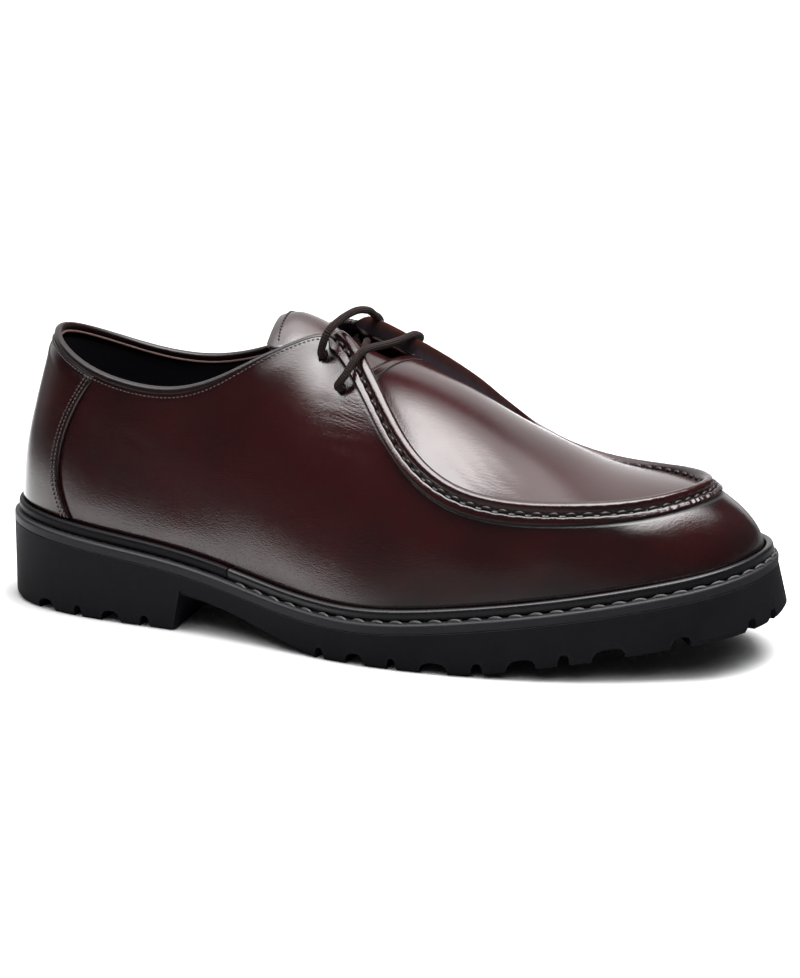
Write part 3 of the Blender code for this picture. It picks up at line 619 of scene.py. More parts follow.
# Wall below the seam, with its creases and its dents round the eyelets
eyelets = {}
for key, (row, setback) in EYELETS.items():
    at = np.array([row])
    point, normal = wall_frame(at, below_edge(at, setback))[:2]
    eyelets[key] = point[0], normal[0]
strip_share = 1 - (1 - below_edge(columns_t, strip_width(columns_t))) * seam_share(columns_t)
fractions = np.concatenate([np.linspace(0, 0.965, 52), [0.982, 0.993]])
shares = fractions[:, None] * strip_share
points, normals, _, reach = wall_frame(columns_t, shares)
rise = points[..., 2] - points[:1, :, 2]
under = (1 - shares) * reach
under_seam = (strip_share - shares) * reach
settled = ease(rise, 2, 14) * ease(under, 1, 10)
outer_side = ease(-points[..., 1], 5, 12)
push = unevenness(points) * settled
push -= troughs(points, [0, 2], WALL_CREASES) * settled * outer_side
eyelet_dark = np.zeros_like(push)
for point, _ in eyelets.values():
    gap = np.linalg.norm(points - point, axis=-1)
    push -= EYELET_DENT * bell(gap, DENT_REACH)
    eyelet_dark += 0.9 * np.exp(-(gap / 3.2) ** 4)
seam_zone = seam_share(columns_t)
groove = bell(under_seam - 0.4, 0.4) * seam_zone
push -= 0.10 * groove
wall_rows = points + normals * push[..., None]

# Darkness of the wall: burnished at its foot, under the seam, at the collar and at the toe, darker round the
# eyelets
# The groove just under the strip is painted dark: painted shade under the strip's edge
wall_dark = fading(rise, 0.55, 8) + fading(under_seam, 0.45, 6) * seam_zone + 1.2 * groove
wall_dark += 0.35 * bell(under_seam, 2.2) * seam_zone
wall_dark += fading(under, 0.3, 4) * (1 - seam_zone) + eyelet_dark
wall_dark += 0.4 * ease(points[..., 0], 262, 292)

# Fine folds in front of the eyelets, level along the wall: how strong they are, and their count across
wall_crease = outer_side * bell(points[..., 0] - 147, 7) * bell(points[..., 2] - 89, 8)
wall_fold = (points[..., 2] + 0.25 * points[..., 0]) / 1.25

# Seam rows over the edge, and the inside of the wall
over_rows, over_dark, inside_edge = edge_rows(columns_t)
inside_rows = [inside_edge]
inside_flesh = [seam_zone]
for f in (0.985, 0.92, 0.75, 0.5, 0.25, 0.0):
    point, normal = wall_frame(columns_t, strip_share * f)[:2]
    if f == 0.0:
        normal = unit(normal * np.array([1.0, 1.0, 0.0]))
    inside_rows.append(point - normal * LEATHER)
    inside_flesh.append(seam_zone * (f > 0.4))
ring_points = np.concatenate([wall_rows, over_rows, inside_rows])
outer_rows = len(wall_rows) + len(over_rows)
number = np.arange(ring_points.shape[0] * columns).reshape(-1, columns)

# Apron across the seam, outside and inside
REAR_ROW = 3
half_turn = np.linspace(0, math.pi, 50)
across_shares = 0.5 - 0.5 * np.cos(half_turn) * (1 - 0.25 * np.sin(half_turn) ** 2)


def apron(row, drop):
    """Grid of points across the apron from its outer to its inner seam, over its crest."""
    left, right = ring_points[row, first:tip], ring_points[row, final:tip:-1]
    crest = smooth(APRON_CREST, (left[:, 0] + right[:, 0]) / 2) - drop
    top = (crest - (left[:, 2] + right[:, 2]) / 8) * 4 / 3
    low = left + (right - left) * 0.36
    high = right + (left - right) * 0.36
    low[:, 2] = high[:, 2] = top
    corners = (corner[:, None] for corner in (left, low, high, right))
    return curve(*corners, across_shares[None, :, None])


apron_grid = apron(outer_rows - 1, 0.0)
slope = np.cross(np.gradient(apron_grid, axis=1), np.gradient(apron_grid, axis=0))
slope = unit(slope * np.sign(slope[..., 2:]))
apron_sides = apron_grid[:, :1], apron_grid[:, -1:]
edge_gap = np.minimum(*(np.linalg.norm(apron_grid - side, axis=-1) for side in apron_sides))
raised = (unevenness(apron_grid) - troughs(apron_grid, [0, 1], APRON_CREASES)) * ease(edge_gap, 0, 5)
apron_grid = apron_grid + slope * raised[..., None]
apron_dark = fading(edge_gap, 0.6, 4) + fading(apron_grid[..., 0] - apron_grid[0, 0, 0], 0.25, 6)
# A dark line along the apron's rear stitch row: painted shade of a stitch groove
apron_dark[REAR_ROW] += 0.9
apron_crease = bell(apron_grid[..., 0] - 200, 14) * bell(edge_gap - 7, 5) * (apron_grid[..., 1] < 0)
apron_fold = edge_gap / 1.6
plain = np.zeros_like(edge_gap)

# Far facing: the inner flank of its bead shows the brown flesh side at the top, fading to black lower down
# The black is partly the lining's own colour and partly painted shade under the bead's crest
flank = outer_rows - 1 - BEAD_TURNS * 2 // 5
far_facing = window(columns_t, *FAR_FACING_ROWS)
outer_flesh = np.zeros((outer_rows, columns))
outer_flesh[flank:] = (1 - np.linspace(0, 1, outer_rows - flank)[:, None] ** 3) * far_facing

# Points, faces and marks of the rings, then of the apron's two sides
over_burnish_and_shade = np.stack(over_dark) * seam_zone + 0.9 * (1 - seam_zone)
plain_rows = np.zeros((len(ring_points) - len(wall_rows), columns))
ring_marks = {"burnish": (wall_dark, over_burnish_and_shade, np.zeros((len(inside_rows), columns))),
              "flesh": (outer_flesh, np.stack(inside_flesh)),
              "crease": (wall_crease, plain_rows),
              "fold": (wall_fold, plain_rows)}
upper_marks = {label: [np.concatenate(rows).ravel()] for label, rows in ring_marks.items()}
flat_points = [ring_points.reshape(-1, 3)]
leather_faces = quads(number[:outer_rows], closed=True)
lining_faces = quads(number[outer_rows:], closed=True)
lining_faces += quads(np.stack([number[-1], number[0]]), closed=True)
open_top = np.concatenate([np.arange(final, columns), np.arange(0, first + 1)])
leather_faces += quads(np.stack([number[outer_rows - 1, open_top], number[outer_rows, open_top]]))
apron_ends = []
for row, grid, dark, crease, faces in (
        (outer_rows - 1, apron_grid, apron_dark, apron_crease, leather_faces),
        (outer_rows, apron(outer_rows, APRON_LEATHER), plain, plain, lining_faces)):
    index = np.empty(plain.shape, int)
    index[:, 0] = number[row, first:tip]
    index[:, -1] = number[row, final:tip:-1]
    inner = index[:, 1:-1]
    inner[:] = sum(map(len, flat_points)) + np.arange(inner.size).reshape(inner.shape)
    flat_points.append(grid[:, 1:-1].reshape(-1, 3))
    for label, values in (("burnish", dark), ("flesh", plain), ("crease", crease), ("fold", apron_fold)):
        upper_marks[label].append(values[:, 1:-1].ravel())
    faces += quads(index)
    faces += [[int(a), int(b), int(number[row, tip])] for a, b in zip(index[-1], index[-1, 1:])]
    apron_ends.append(index[0])
leather_faces += quads(np.stack(apron_ends))

upper = piece("upper_leather", np.concatenate(flat_points), leather_faces + lining_faces, upper_leather,
              lining_leather)
face_side = np.repeat([0, 1], [len(leather_faces), len(lining_faces)]).astype(np.int32)
flank_faces = face_side[:(outer_rows - 1) * columns].reshape(-1, columns)
# Lower flank faces get the lining leather, whose black there is partly its own colour and partly painted
# shade
for column in np.flatnonzero(far_facing > 0):
    hidden = int((outer_rows - 1 - flank) * (1 - ease(columns_t[column], *FLESH_TAPER_ROWS)))
    flank_faces[flank + hidden:, column] = 1
upper.data.polygons.foreach_set("material_index", face_side)
for label, values in upper_marks.items():
    mark(upper, label, np.concatenate(values))


def sweep(path, radius, sides, taper=1.0):
    """Section loops of a round cord along a path."""
    path = np.asarray(path, float)
    run = unit(np.gradient(path, axis=0))
    side = unit(np.cross(run[0], (0.3, 0.2, 1.0)))
    turn = np.linspace(0, 2 * math.pi, sides, endpoint=False)[:, None]
    loops = []
    for point, ahead, width in zip(path, run, np.broadcast_to(taper, len(path))):
        side = unit(side - ahead * (side @ ahead))
        loops.append(point + radius * width * (np.cos(turn) * side + np.sin(turn) * np.cross(ahead, side)))
    return np.array(loops)


def threads(paths, radius, sides=8, taper=1.0):
    """Points and faces of round threads along paths, with closed ends."""
    return merged([tube(sweep(path, radius, sides, taper)) for path in paths])


# Punched holes, dark where the punch went through
PUNCH_REACH = 6
PUNCH_SIDES = 20
punch_paths = []
for point, normal in eyelets.values():
    punch_paths.append([point - normal * PUNCH_REACH, point + normal * PUNCH_REACH])
cut(upper, piece("eyelet_punch", *threads(punch_paths, EYELET_RADIUS, PUNCH_SIDES)))
hole_points = np.array([v.co for v in upper.data.vertices]) * 1000 + SHIFT
hole_dark = np.zeros(len(hole_points), np.float32)
upper.data.attributes["burnish"].data.foreach_get("value", hole_dark)
for point, normal in eyelets.values():
    offset = hole_points - point
    away = np.linalg.norm(offset - np.outer(offset @ normal, normal), axis=1)
    hole_dark[(away < EYELET_RADIUS + 0.3) & (abs(offset @ normal) < 5)] = 1.2
upper.data.attributes["burnish"].data.foreach_set("value", hole_dark)
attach(upper, "root")
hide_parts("upper")

# Moc seam stitches
# Hand-sewn waxed linen thread, one short dash for each stitch in the channel between strip and bead.
# Each dash dives into its awl hole at both ends. Round the toe's inner side the stitches show a second time,
# where they come out between bead and apron.
THREAD_RADIUS = 0.72
PLUG_ROWS = (18.6, 23.6)
DASH = np.linspace(0, 1, 9)
DASH_ARCH = np.sin(math.pi * DASH) ** 0.7
DASH_TAPER = 0.55 + 0.45 * np.sin(math.pi * DASH) ** 0.5


def thread_finish(name, colour, roughness):
    """Waxed thread in one even tone."""
    return finish(name, Base_Color=colour, Roughness=roughness, Specular_IOR_Level=0.3)[0]


def dashes(line, out, known, count, cover, lift, sink):
    """Paths of stitches along a line, one for each whole count: arched out, and sunk in at both ends."""
    paths = []
    for k in range(count):
        places = k + 0.5 + cover * (DASH - 0.5)
        bow = lift * DASH_ARCH - sink
        paths.append(at_places(line, known, places) + at_places(out, known, places) * bow[:, None])
    return paths


def stitches(name, paths, radius, look, sides=6):
    """One object of all the stitches along paths, each thinner towards its ends."""
    return piece(name, *threads(paths, radius, sides, DASH_TAPER), look)


seam_thread = thread_finish("seam thread", (0.0248, 0.01730, 0.01665, 1), 0.36)
edge, inward, out, _, _ = seam_frame(seam_t)
stitch_count = int(seam_stitches[-1])
channel_line = edge + inward * 0.15
seam_paths = dashes(channel_line, out, seam_stitches, stitch_count, cover=0.64, lift=0.75, sink=0.30)
far = (seam_t > PLUG_ROWS[0]) & (seam_t < PLUG_ROWS[1])
plug_line = (edge + inward * 4.3 + out * 0.3)[far]
plug_out = unit(inward + out)[far]
plug_known = seam_stitches[far] - seam_stitches[far][0]
seam_paths += dashes(plug_line, plug_out, plug_known, int(plug_known[-1]), cover=0.58, lift=0.6, sink=0.2)
moc_stitches = stitches("moc_seam_stitches", seam_paths, THREAD_RADIUS, seam_thread, sides=8)
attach(moc_stitches, "root")

# Heel counter
# A second layer of the same calf laid over the back of the quarters, with its edge cut square and burnished.
# Two rows of small machine stitches just behind its front edge hold it down.
COUNTER = 1.2
CLEAR = 0.3
BEAD_HEIGHT = 4.4
BINDING_DEPTH = 1.5
ROW_LENGTH = 21.5
WALL_HEIGHT = 60
COUNTER_ROWS = (1.5, 3.1)
COUNTER_THREAD = 0.31

# Shares of the thickness left at the cut front edge and at the top under the binding, and where they end
FRONT_LEFT, FRONT_EASE = 0.72, 0.8
TOP_LEFT, TOP_EASE = 0.05, 0.09

# Front edge of the counter: share of its height and the station row there, outer and inner side alike
COUNTER_FRONT = ((0.0, 2.16), (0.2, 1.90), (0.45, 1.82), (0.7, 1.96), (1.0, 2.36))


def share_at_height(t, height):
    """Share of the wall at a height above the sole, for each station."""
    shares = np.linspace(0, 0.5, 60)
    rise = wall(np.asarray(t)[:, None], shares[None])[..., 2]
    return np.array([np.interp(height, line - line[0], shares) for line in rise])


def sheet(outer, inner, bulge):
    """Points and faces of a closed sheet between two grids, with its rim rounded out by a bulge."""
    rows, columns = outer.shape[:2]
    count = rows * columns
    number = np.arange(count).reshape(rows, columns)
    rim = np.concatenate([number[0, :-1], number[:-1, -1], number[-1, :0:-1], number[:0:-1, 0]])
    nearest = np.pad(number[1:-1, 1:-1], 1, mode="edge").ravel()[rim]
    flat, deep = outer.reshape(-1, 3), inner.reshape(-1, 3)
    middle = (flat[rim] + deep[rim]) / 2 + unit(flat[rim] - flat[nearest]) * bulge
    band = np.stack([rim, 2 * count + np.arange(len(rim)), rim + count])
    faces = quads(number) + quads(number + count) + quads(band, closed=True)
    return np.concatenate([flat, deep, middle]), faces


def counter_points(f, t):
    """Place, normal and rough height on the wall at a share of the counter's height."""
    low = share_at_height(t, BEAD_HEIGHT + 0.7)
    high = below_edge(t, BINDING_DEPTH + 0.3)
    point, normal = wall_frame(t, low + (high - low) * f)[:2]
    return point, normal, f * (high - low) * WALL_HEIGHT


counter_shares = np.linspace(0, 1, 44)
counter_front = smooth(COUNTER_FRONT, counter_shares)
spread = np.linspace(-0.945, 0.945, 110)
spread = np.concatenate([[-1, -0.994, -0.985, -0.965], spread, [0.965, 0.985, 0.994, 1]])
outer_grid = []
inner_grid = []
counter_dark = []
for f, front in zip(counter_shares, counter_front):
    point, normal, rise = counter_points(f, front * spread)
    gap = (1 - abs(spread)) * front * ROW_LENGTH
    eased = FRONT_LEFT + (1 - FRONT_LEFT) * np.sqrt(1 - (1 - np.clip(gap / FRONT_EASE, 0, 1)) ** 2)
    eased = eased * (TOP_LEFT + (1 - TOP_LEFT) * ease(1 - f, 0.0, TOP_EASE))
    even = unevenness(point) * ease(gap, 0, 9) * ease(rise, 0, 10) * 0.8
    outer_grid.append(point + normal * (CLEAR + COUNTER * eased + even)[:, None])
    inner_grid.append(point + normal * CLEAR)
    counter_dark.append(fading(rise, 0.45, 9) + fading(gap, 0.45, 3.0) + 0.9 * np.exp(-(1 - f) * 14))
counter_points_all, counter_faces = sheet(np.array(outer_grid), np.array(inner_grid), 0.12)
counter_leather = leather_finish("counter leather", gloss=0.18, strength=0.17)
heel_counter = piece("heel_counter_leather", counter_points_all, counter_faces, counter_leather)
counter_dark = np.array(counter_dark).ravel()
rest = len(counter_points_all) - 2 * len(counter_dark)
mark(heel_counter, "burnish", np.concatenate([counter_dark, counter_dark + 0.5, np.full(rest, 1.2)]))
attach(heel_counter, "root")
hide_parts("heel_counter")

FINE_PITCH = 1.7
fine_thread = thread_finish("fine thread", (0.0664, 0.0485, 0.0485, 1), 0.5)


def fine_stitches(line, out):
    """Paths of small machine stitches along a line that lies on the surface."""
    count = int(lengths(line)[-1] / FINE_PITCH)
    known = lengths(line) * count / lengths(line)[-1]
    return dashes(line, out, known, count, cover=0.56, lift=0.36, sink=0.12)


counter_paths = []
for side in (-1, 1):
    for setback in COUNTER_ROWS:
        line = []
        out = []
        for f, front in zip(counter_shares, counter_front):
            point, normal, _ = counter_points(f, np.array([side * (front - setback / ROW_LENGTH)]))
            line.append(point[0] + normal[0] * (CLEAR + COUNTER))
            out.append(normal[0])
        counter_paths += fine_stitches(np.array(line), np.array(out))
counter_stitches = stitches("counter_stitches", counter_paths, COUNTER_THREAD, fine_thread)
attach(counter_stitches, "root")

# Collar binding
# A strip of thin dark leather folded tight over the raw top edge of the quarters, from facing corner to
# facing corner. A row of small stitches runs just below it, through counter, quarters and lining.

# The strip's outer and inner face, as rows of distance below the edge and height off the leather
BINDING_OUTSIDE = ((1.4, 0.03), (1.4, 0.12), (1.25, 0.25), (1.0, 0.33), (0.75, 0.36), (0.45, 0.37))
BINDING_INSIDE = ((0.4, 0.34), (0.9, 0.32), (1.3, 0.28), (1.5, 0.20), (1.55, 0.03))
BINDING_ROLL = 0.36
BINDING_UNDERSIDE = 0.05
BINDING_STOP = 0.04
BINDING_RED = (0.020, 0.0075, 0.0080, 1)
BINDING_BLACK = (0.0055, 0.0038, 0.0046, 1)
COLLAR_THREAD = 0.25
COUNTER_END_ROWS = (2.45, 2.30)
COUNTER_STEP = 0.55
binding_t = np.linspace(FACING_ROWS[3] + BINDING_STOP - ROWS, FACING_ROWS[0] - BINDING_STOP, 440)
edge, normal, up, _ = wall_frame(binding_t, np.ones_like(binding_t))
middle = edge - normal * LEATHER / 2
slim = 1 - 0.55 * ease(abs(binding_t), 4.2, 6.4)


def over_edge(side, angles):
    """Rows of points round the collar's edge at a distance from its face."""
    side = (LEATHER / 2 + side * slim)[:, None]
    return [middle + normal * side * math.cos(angle) + up * side * math.sin(angle) for angle in angles]


def on_collar(rows, inside):
    """Rows of points on one face of the collar, each a distance below its edge and a height off it."""
    made = []
    for below, height in rows:
        point, face = wall_frame(binding_t, below_edge(binding_t, below * slim))[:2]
        height = (height * slim)[:, None]
        made.append(point - face * (LEATHER + height) if inside else point + face * height)
    return made


binding_loop = on_collar(BINDING_OUTSIDE, False)
binding_loop += over_edge(BINDING_ROLL, np.linspace(0.1, math.pi - 0.1, 10))
binding_loop += on_collar(BINDING_INSIDE, True)
binding_loop += over_edge(BINDING_UNDERSIDE, np.linspace(math.pi - 0.3, 0.3, 4))
binding_loop = np.stack(binding_loop, 1)
binding_leather = leather_finish("binding leather", gloss=0.30, strength=0.2, red=BINDING_RED,
                                 dark=BINDING_BLACK, shine=0.36, coat=0.0)
binding = piece("collar_binding_leather", *tube(binding_loop), binding_leather)
binding_dark = np.full(binding_loop.shape[:2], 0.5)
binding_dark[:, :3] = 1.4
mark(binding, "burnish", binding_dark)
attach(binding, "root")
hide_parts("collar_binding")

collar_line, collar_out = wall_frame(binding_t, below_edge(binding_t, 0.6 + 2.1 * slim))[:2]
on_counter = ease(abs(binding_t), *COUNTER_END_ROWS)
collar_paths = fine_stitches(collar_line + collar_out * (COUNTER_STEP * on_counter)[:, None], collar_out)
collar_stitches = stitches("collar_stitches", collar_paths, COLLAR_THREAD, fine_thread)
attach(collar_stitches, "root")

# Pale raw edge of the lining just under the binding, inside the collar
RAW_EDGE_DEPTH = 2.0
RAW_EDGE_RADIUS = 0.55
RAW_EDGE_ROWS = 6.3
lining_t = np.linspace(-RAW_EDGE_ROWS, RAW_EDGE_ROWS, 260)
edge_point, edge_out = wall_frame(lining_t, below_edge(lining_t, RAW_EDGE_DEPTH))[:2]
raw_edge, raw_tree, raw_shader = finish("raw lining edge", Roughness=0.75)
raw_grain = noise(raw_tree, 700.0, 2.0)
raw_tone = mix_colours(raw_tree, raw_grain, (0.10, 0.058, 0.053, 1), (0.19, 0.12, 0.108, 1))
raw_tree.links.new(raw_tone, raw_shader.inputs["Base Color"])
edge_threads = threads([edge_point - edge_out * (LEATHER + 0.1)], RAW_EDGE_RADIUS)
lining_edge = piece("collar_lining_edge", *edge_threads, raw_edge)
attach(lining_edge, "root")

# Tongue
# One tongue of the upper calf over a thin padding, its end cut round and standing above the collar.
# It is sewn under the apron's rear edge, and a row of stitches follows its free end.
TONGUE = 2.2
TONGUE_END = 108.2
HANG_POWER = 1.7
TONGUE_THREAD = 0.30
END_ROW_X, END_ROW_BOW, END_ROW_WIDTH = 111.6, 1.5, 0.88

# Along the tongue's middle: x, top height, half width and how far its sides hang below the middle
TONGUE_LINE = ((176, 89.6, 12.0, 2.2), (164, 95.5, 13.5, 2.6), (152, 100.6, 13.2, 3.0),
               (142, 104.4, 12.6, 3.4), (132, 110.2, 13.4, 4.6), (126, 113.8, 15.6, 6.4),
               (120.4, 116.2, 17.8, 8.2), (115.5, 117.5, 18.8, 9.2), (111.6, 117.2, 18.6, 9.4),
               (109.2, 116.4, 17.2, 8.6), (TONGUE_END, 116.0, 15.6, 7.4))


def tongue_points(x, across):
    """Place and normal on the tongue's top at places along it and shares of its half width."""
    height, half, hang = (smooth([(-row[0], row[k]) for row in TONGUE_LINE], -x) for k in (1, 2, 3))
    ahead = smooth([(-row[0], row[1]) for row in TONGUE_LINE], -x - 0.2)
    tilt = (ahead - height) / 0.2
    top = stack(x, across * half, height - hang * abs(across) ** HANG_POWER)
    lean = HANG_POWER * hang * np.sign(across) * abs(across) ** (HANG_POWER - 1) / half
    return top, unit(stack(-tilt, lean, 1.0))


tongue_x = np.concatenate([np.linspace(176, 112, 60), np.linspace(111.4, TONGUE_END, 12)])[:, None]
tongue_across = np.linspace(-1, 1, 40)[None]
tongue_top, tongue_out = tongue_points(tongue_x, tongue_across)
tongue_mesh = sheet(tongue_top, tongue_top - tongue_out * TONGUE, 0.75)
tongue_leather = leather_finish("tongue leather", gloss=0.24, strength=0.2, shine=1.0)
tongue = piece("tongue_leather", *tongue_mesh, tongue_leather)
end_gap = np.minimum(tongue_x - TONGUE_END, (1 - abs(tongue_across)) * 14)
tongue_dark = fading(end_gap, 0.5, 2.0).ravel()
rest = len(tongue_mesh[0]) - 2 * len(tongue_dark)
mark(tongue, "burnish", np.concatenate([tongue_dark, tongue_dark + 0.8, np.full(rest, 0.8)]))
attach(tongue, "root")
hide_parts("tongue")

# Stitch rows: round the tongue's free end, and along the apron's rear edge where the tongue is sewn under it
turn = np.linspace(-1, 1, 160)
tongue_line, tongue_line_out = tongue_points(END_ROW_X + END_ROW_BOW * abs(turn) ** 3, END_ROW_WIDTH * turn)
end_paths = fine_stitches(tongue_line, tongue_line_out)
rear = apron_grid[REAR_ROW, 5:-6]
rear_out = unit(np.cross(np.gradient(rear, axis=0), apron_grid[2 * REAR_ROW, 5:-6] - rear))
rear_paths = fine_stitches(rear, rear_out * np.sign(rear_out[:, 2:]))
dark_thread = thread_finish("dark thread", (0.0131, 0.0082, 0.0082, 1), 0.5)
tongue_stitches = stitches("tongue_stitches", end_paths + rear_paths, TONGUE_THREAD, dark_thread)
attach(tongue_stitches, "root")

# Insole
# A sock of thin black leather on a board, cut to the inside of the upper and turned up slightly at its edge.
# It is pasted down and lies on the midsole.
INSOLE = 3.0
STATION_STEP = 34

# Close stations round the sole, their places along the foot, and which of them is at the toe
dense_t = np.linspace(0, ROWS, 6801)
dense_x = outline(dense_t)[0][:, 0]
toe_index = int(np.argmax(dense_x))


def paired_stations(step):
    """Stations round the sole in pairs that share their place along the foot."""
    t, x, toe = dense_t, dense_x, toe_index
    places = np.concatenate([x[:toe:step], SOLE_BENDS])
    places = np.unique(np.round(places[(places > x[0] + 0.2) & (places < x[toe] - 0.2)], 2))
    places = places[np.concatenate([[True], np.diff(places) > 0.6])]
    outer = np.interp(places, np.maximum.accumulate(x[:toe + 1]), t[:toe + 1])
    inner = np.interp(places, np.maximum.accumulate(x[toe:][::-1]), t[toe:][::-1])
    return np.concatenate([[0.0], outer, [t[toe]], inner[::-1]])


# Places along the foot where the sole's underside changes: heel breast, arch, flat tread and toe spring
BREAST_LOW = 77.3
BREAST_HIGH = 80.2
ARCH = ((BREAST_HIGH, 14.5), (90, 12.9), (108, 8.4), (126, 3.0), (138, 0.0))
SPRING_START, SPRING_END, SPRING_SLOPE = 184.0, 206.0, 0.166
SOLE_BENDS = [BREAST_LOW, SPRING_START, SPRING_END] + [row[0] for row in ARCH]
rounds = paired_stations(STATION_STEP)
inner_rim = outline(rounds, LEDGE + LEATHER + CLEAR + 0.4)[0]
half = len(rounds) // 2
left, right = inner_rim[1:half], inner_rim[:half:-1]
share = np.linspace(0, 1, 26)[None, :, None]
sock_plan = left[:, None] * (1 - share) + right[:, None] * share
sock_base = sole_top(sock_plan[..., 0]) + SEAT
turned = 1.1 * abs(2 * share[..., 0] - 1) ** 5
sock_mesh = sheet(np.concatenate([sock_plan, (sock_base + INSOLE - 0.3 + turned)[..., None]], -1),
                  np.concatenate([sock_plan, sock_base[..., None]], -1), 0.2)
insole = piece("insole_sock", *sock_mesh, lining_leather)
mark(insole, "flesh", np.zeros(len(sock_mesh[0])))
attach(insole, "root")
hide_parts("insole")

# Storm welt and heel rand
# Round rubber beads pressed into the angle between upper and midsole: one runs round the front, one round
# the heel. They butt together at the waist on both sides with a fine gap.
BEAD_WIDTH = 3.0
BEAD_JOINT_ROWS = (5.35, 28.55)
JOINT_GAP = 0.012

# Moulded rubber: a fine matte grain with paler, duller clouds
moulded, given, result = effect("moulded rubber", Colour="Color", Worn="Color", Rough="Float")
cloud = noise(moulded, 60.0, 5.0, 0.6)
speck = noise(moulded, 1500.0, 3.0, 0.6)
moulded.links.new(mix_colours(moulded, cloud, given["Colour"], given["Worn"]), result["Color"])
dusty = calculate(moulded, "MULTIPLY_ADD", cloud, 0.25, -0.12)
moulded.links.new(calculate(moulded, "ADD", dusty, given["Rough"], clamp=True), result["Roughness"])
moulded.links.new(calculate(moulded, "MULTIPLY_ADD", cloud, 0.6, speck), result["Height"])


def rubber_finish(name, colour, extra_tone, rough, strength, shine):
    """Moulded rubber from its two tones, its roughness, the strength of its grain and its shine."""
    made, tree, shader = finish(name, Specular_IOR_Level=shine)
    dress(tree, shader, moulded, strength, 0.0003, Colour=colour, Worn=extra_tone, Rough=rough)
    return made


BEAD_TONES = (0.0045, 0.0043, 0.0052, 1), (0.0078, 0.0075, 0.0088, 1)
bead_rubber = rubber_finish("bead rubber", *BEAD_TONES, rough=0.28, strength=0.15, shine=0.34)
rand_rubber = rubber_finish("rand rubber", *BEAD_TONES, rough=0.40, strength=0.15, shine=0.10)


def bead(name, t, look):
    """The round bead in the angle between upper and midsole, over a run of stations."""
    level = unit(wall_frame(t, np.zeros_like(t))[1] * np.array([1.0, 1.0, 0.0]))
    loop = []
    for turn in np.linspace(0, 2 * math.pi, 20, endpoint=False):
        c, s = math.cos(turn), math.sin(turn)
        across = 0.5 + 0.5 * math.copysign(abs(c) ** 0.8, c)
        height = BEAD_HEIGHT * (0.5 + 0.5 * math.copysign(abs(s) ** 0.8, s))
        point = wall(t, share_at_height(t, height)) + level * (CLEAR + BEAD_WIDTH * across)
        point[:, 2] = sole_top(point[:, 0]) + SEAT + height
        loop.append(point)
    return piece(name, *tube(np.stack(loop, 1)), look)


joint_outer, joint_inner = BEAD_JOINT_ROWS
welt_run = np.linspace(joint_outer + JOINT_GAP, joint_inner - JOINT_GAP, 620)
rand_run = np.linspace(joint_inner - ROWS + JOINT_GAP, joint_outer - JOINT_GAP, 340)
storm_welt = bead("storm_welt_bead", welt_run, bead_rubber)
heel_rand = bead("heel_rand_bead", rand_run, rand_rubber)
for made, node in ((storm_welt, "storm_welt"), (heel_rand, "heel_rand")):
    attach(made, "root")
    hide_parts(node)

# Midsole
# A band of grey-black rubber 4 mm thick all round, its top edge rounded by the mould.
# It is cemented between upper and outsole.
BAND = 4.0
EDGE_ROUND = 1.6
EDGE_DROP = 1.5


def ring(t, inset, height):
    """A ring round the foot, moved in from the sole's edge, at a height that may depend on x."""
    plan = outline(t, inset)[0]
    return stack(plan[:, 0], plan[:, 1], height(plan[:, 0]))


def plate(name, rings, look, sharp):
    """A body from stacked rings of paired stations, floored and topped with strips across the foot."""
    size = len(rings[0])
    number = np.arange(len(rings) * size).reshape(-1, size)
    faces = quads(number, closed=True)
    for row in (number[0], number[-1]):
        for k in range(size // 2):
            strip = [k, k + 1, size - k - 1, (size - k) % size]
            faces.append([int(row[j]) for j in dict.fromkeys(strip)])
    made = piece(name, np.concatenate(rings), faces, look)
    made.data.set_sharp_from_angle(angle=math.radians(sharp))
    return made


BAND_TONES = (0.0110, 0.0105, 0.0127, 1), (0.018, 0.0174, 0.0204, 1)
band_rubber = rubber_finish("band rubber", *BAND_TONES, rough=0.44, strength=0.18, shine=0.22)
band_rings = [ring(rounds, 0.2, lambda x: sole_top(x) - BAND),
              ring(rounds, 0.0, lambda x: sole_top(x) - BAND + 0.2)]
for turn in np.linspace(0, math.pi / 2, 7):
    inset, drop = EDGE_ROUND * (1 - math.cos(turn)), EDGE_DROP * (1 - math.sin(turn))
    band_rings.append(ring(rounds, inset, lambda x, drop=drop: sole_top(x) - drop))
midsole = plate("midsole_band", band_rings, band_rubber, 40)
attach(midsole, "root")
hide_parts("midsole")

# Welt stitches
# Thick pale waxed thread sewn through the ledge outside the storm welt, from joint to joint round the front.
# Each stitch lies a little slantwise and sinks into the rubber at both ends.
WELT_PITCH = 7.4
WELT_COVER = 0.74
WELT_INSET, WELT_SLANT = 2.0, 1.0
WELT_LIFT, WELT_SINK = 0.75, 0.35
WELT_THREAD = 0.55
WELT_STOP = 0.15
welt_thread = thread_finish("welt thread", (0.0599, 0.05695, 0.05825, 1), 0.42)
welt_t = np.linspace(joint_outer + WELT_STOP, joint_inner - WELT_STOP, 3000)
welt_arc = lengths(outline(welt_t)[0])
welt_paths = []
for k in range(int(welt_arc[-1] / WELT_PITCH)):
    places = (k + 0.5 + WELT_COVER * (DASH - 0.5)) * WELT_PITCH
    plan = outline(np.interp(places, welt_arc, welt_t), WELT_INSET - WELT_SLANT * DASH)[0]
    height = sole_top(plan[:, 0]) + WELT_LIFT * DASH_ARCH - WELT_SINK
    welt_paths.append(stack(plan[:, 0], plan[:, 1], height))
welt_stitches = stitches("welt_stitches", welt_paths, WELT_THREAD, welt_thread, sides=8)
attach(welt_stitches, "root")

# Outsole
# A moulded black rubber unit with a heel block, arch and lugged tread; notches open at its side all round.
# It is cemented under the midsole, and its toe flares out a little towards the floor.
TOE_FLARE = 3.5
LUG_DEPTH = 4.5
LUG_REACH = 13.0
NOTCH_POWER = 2.6

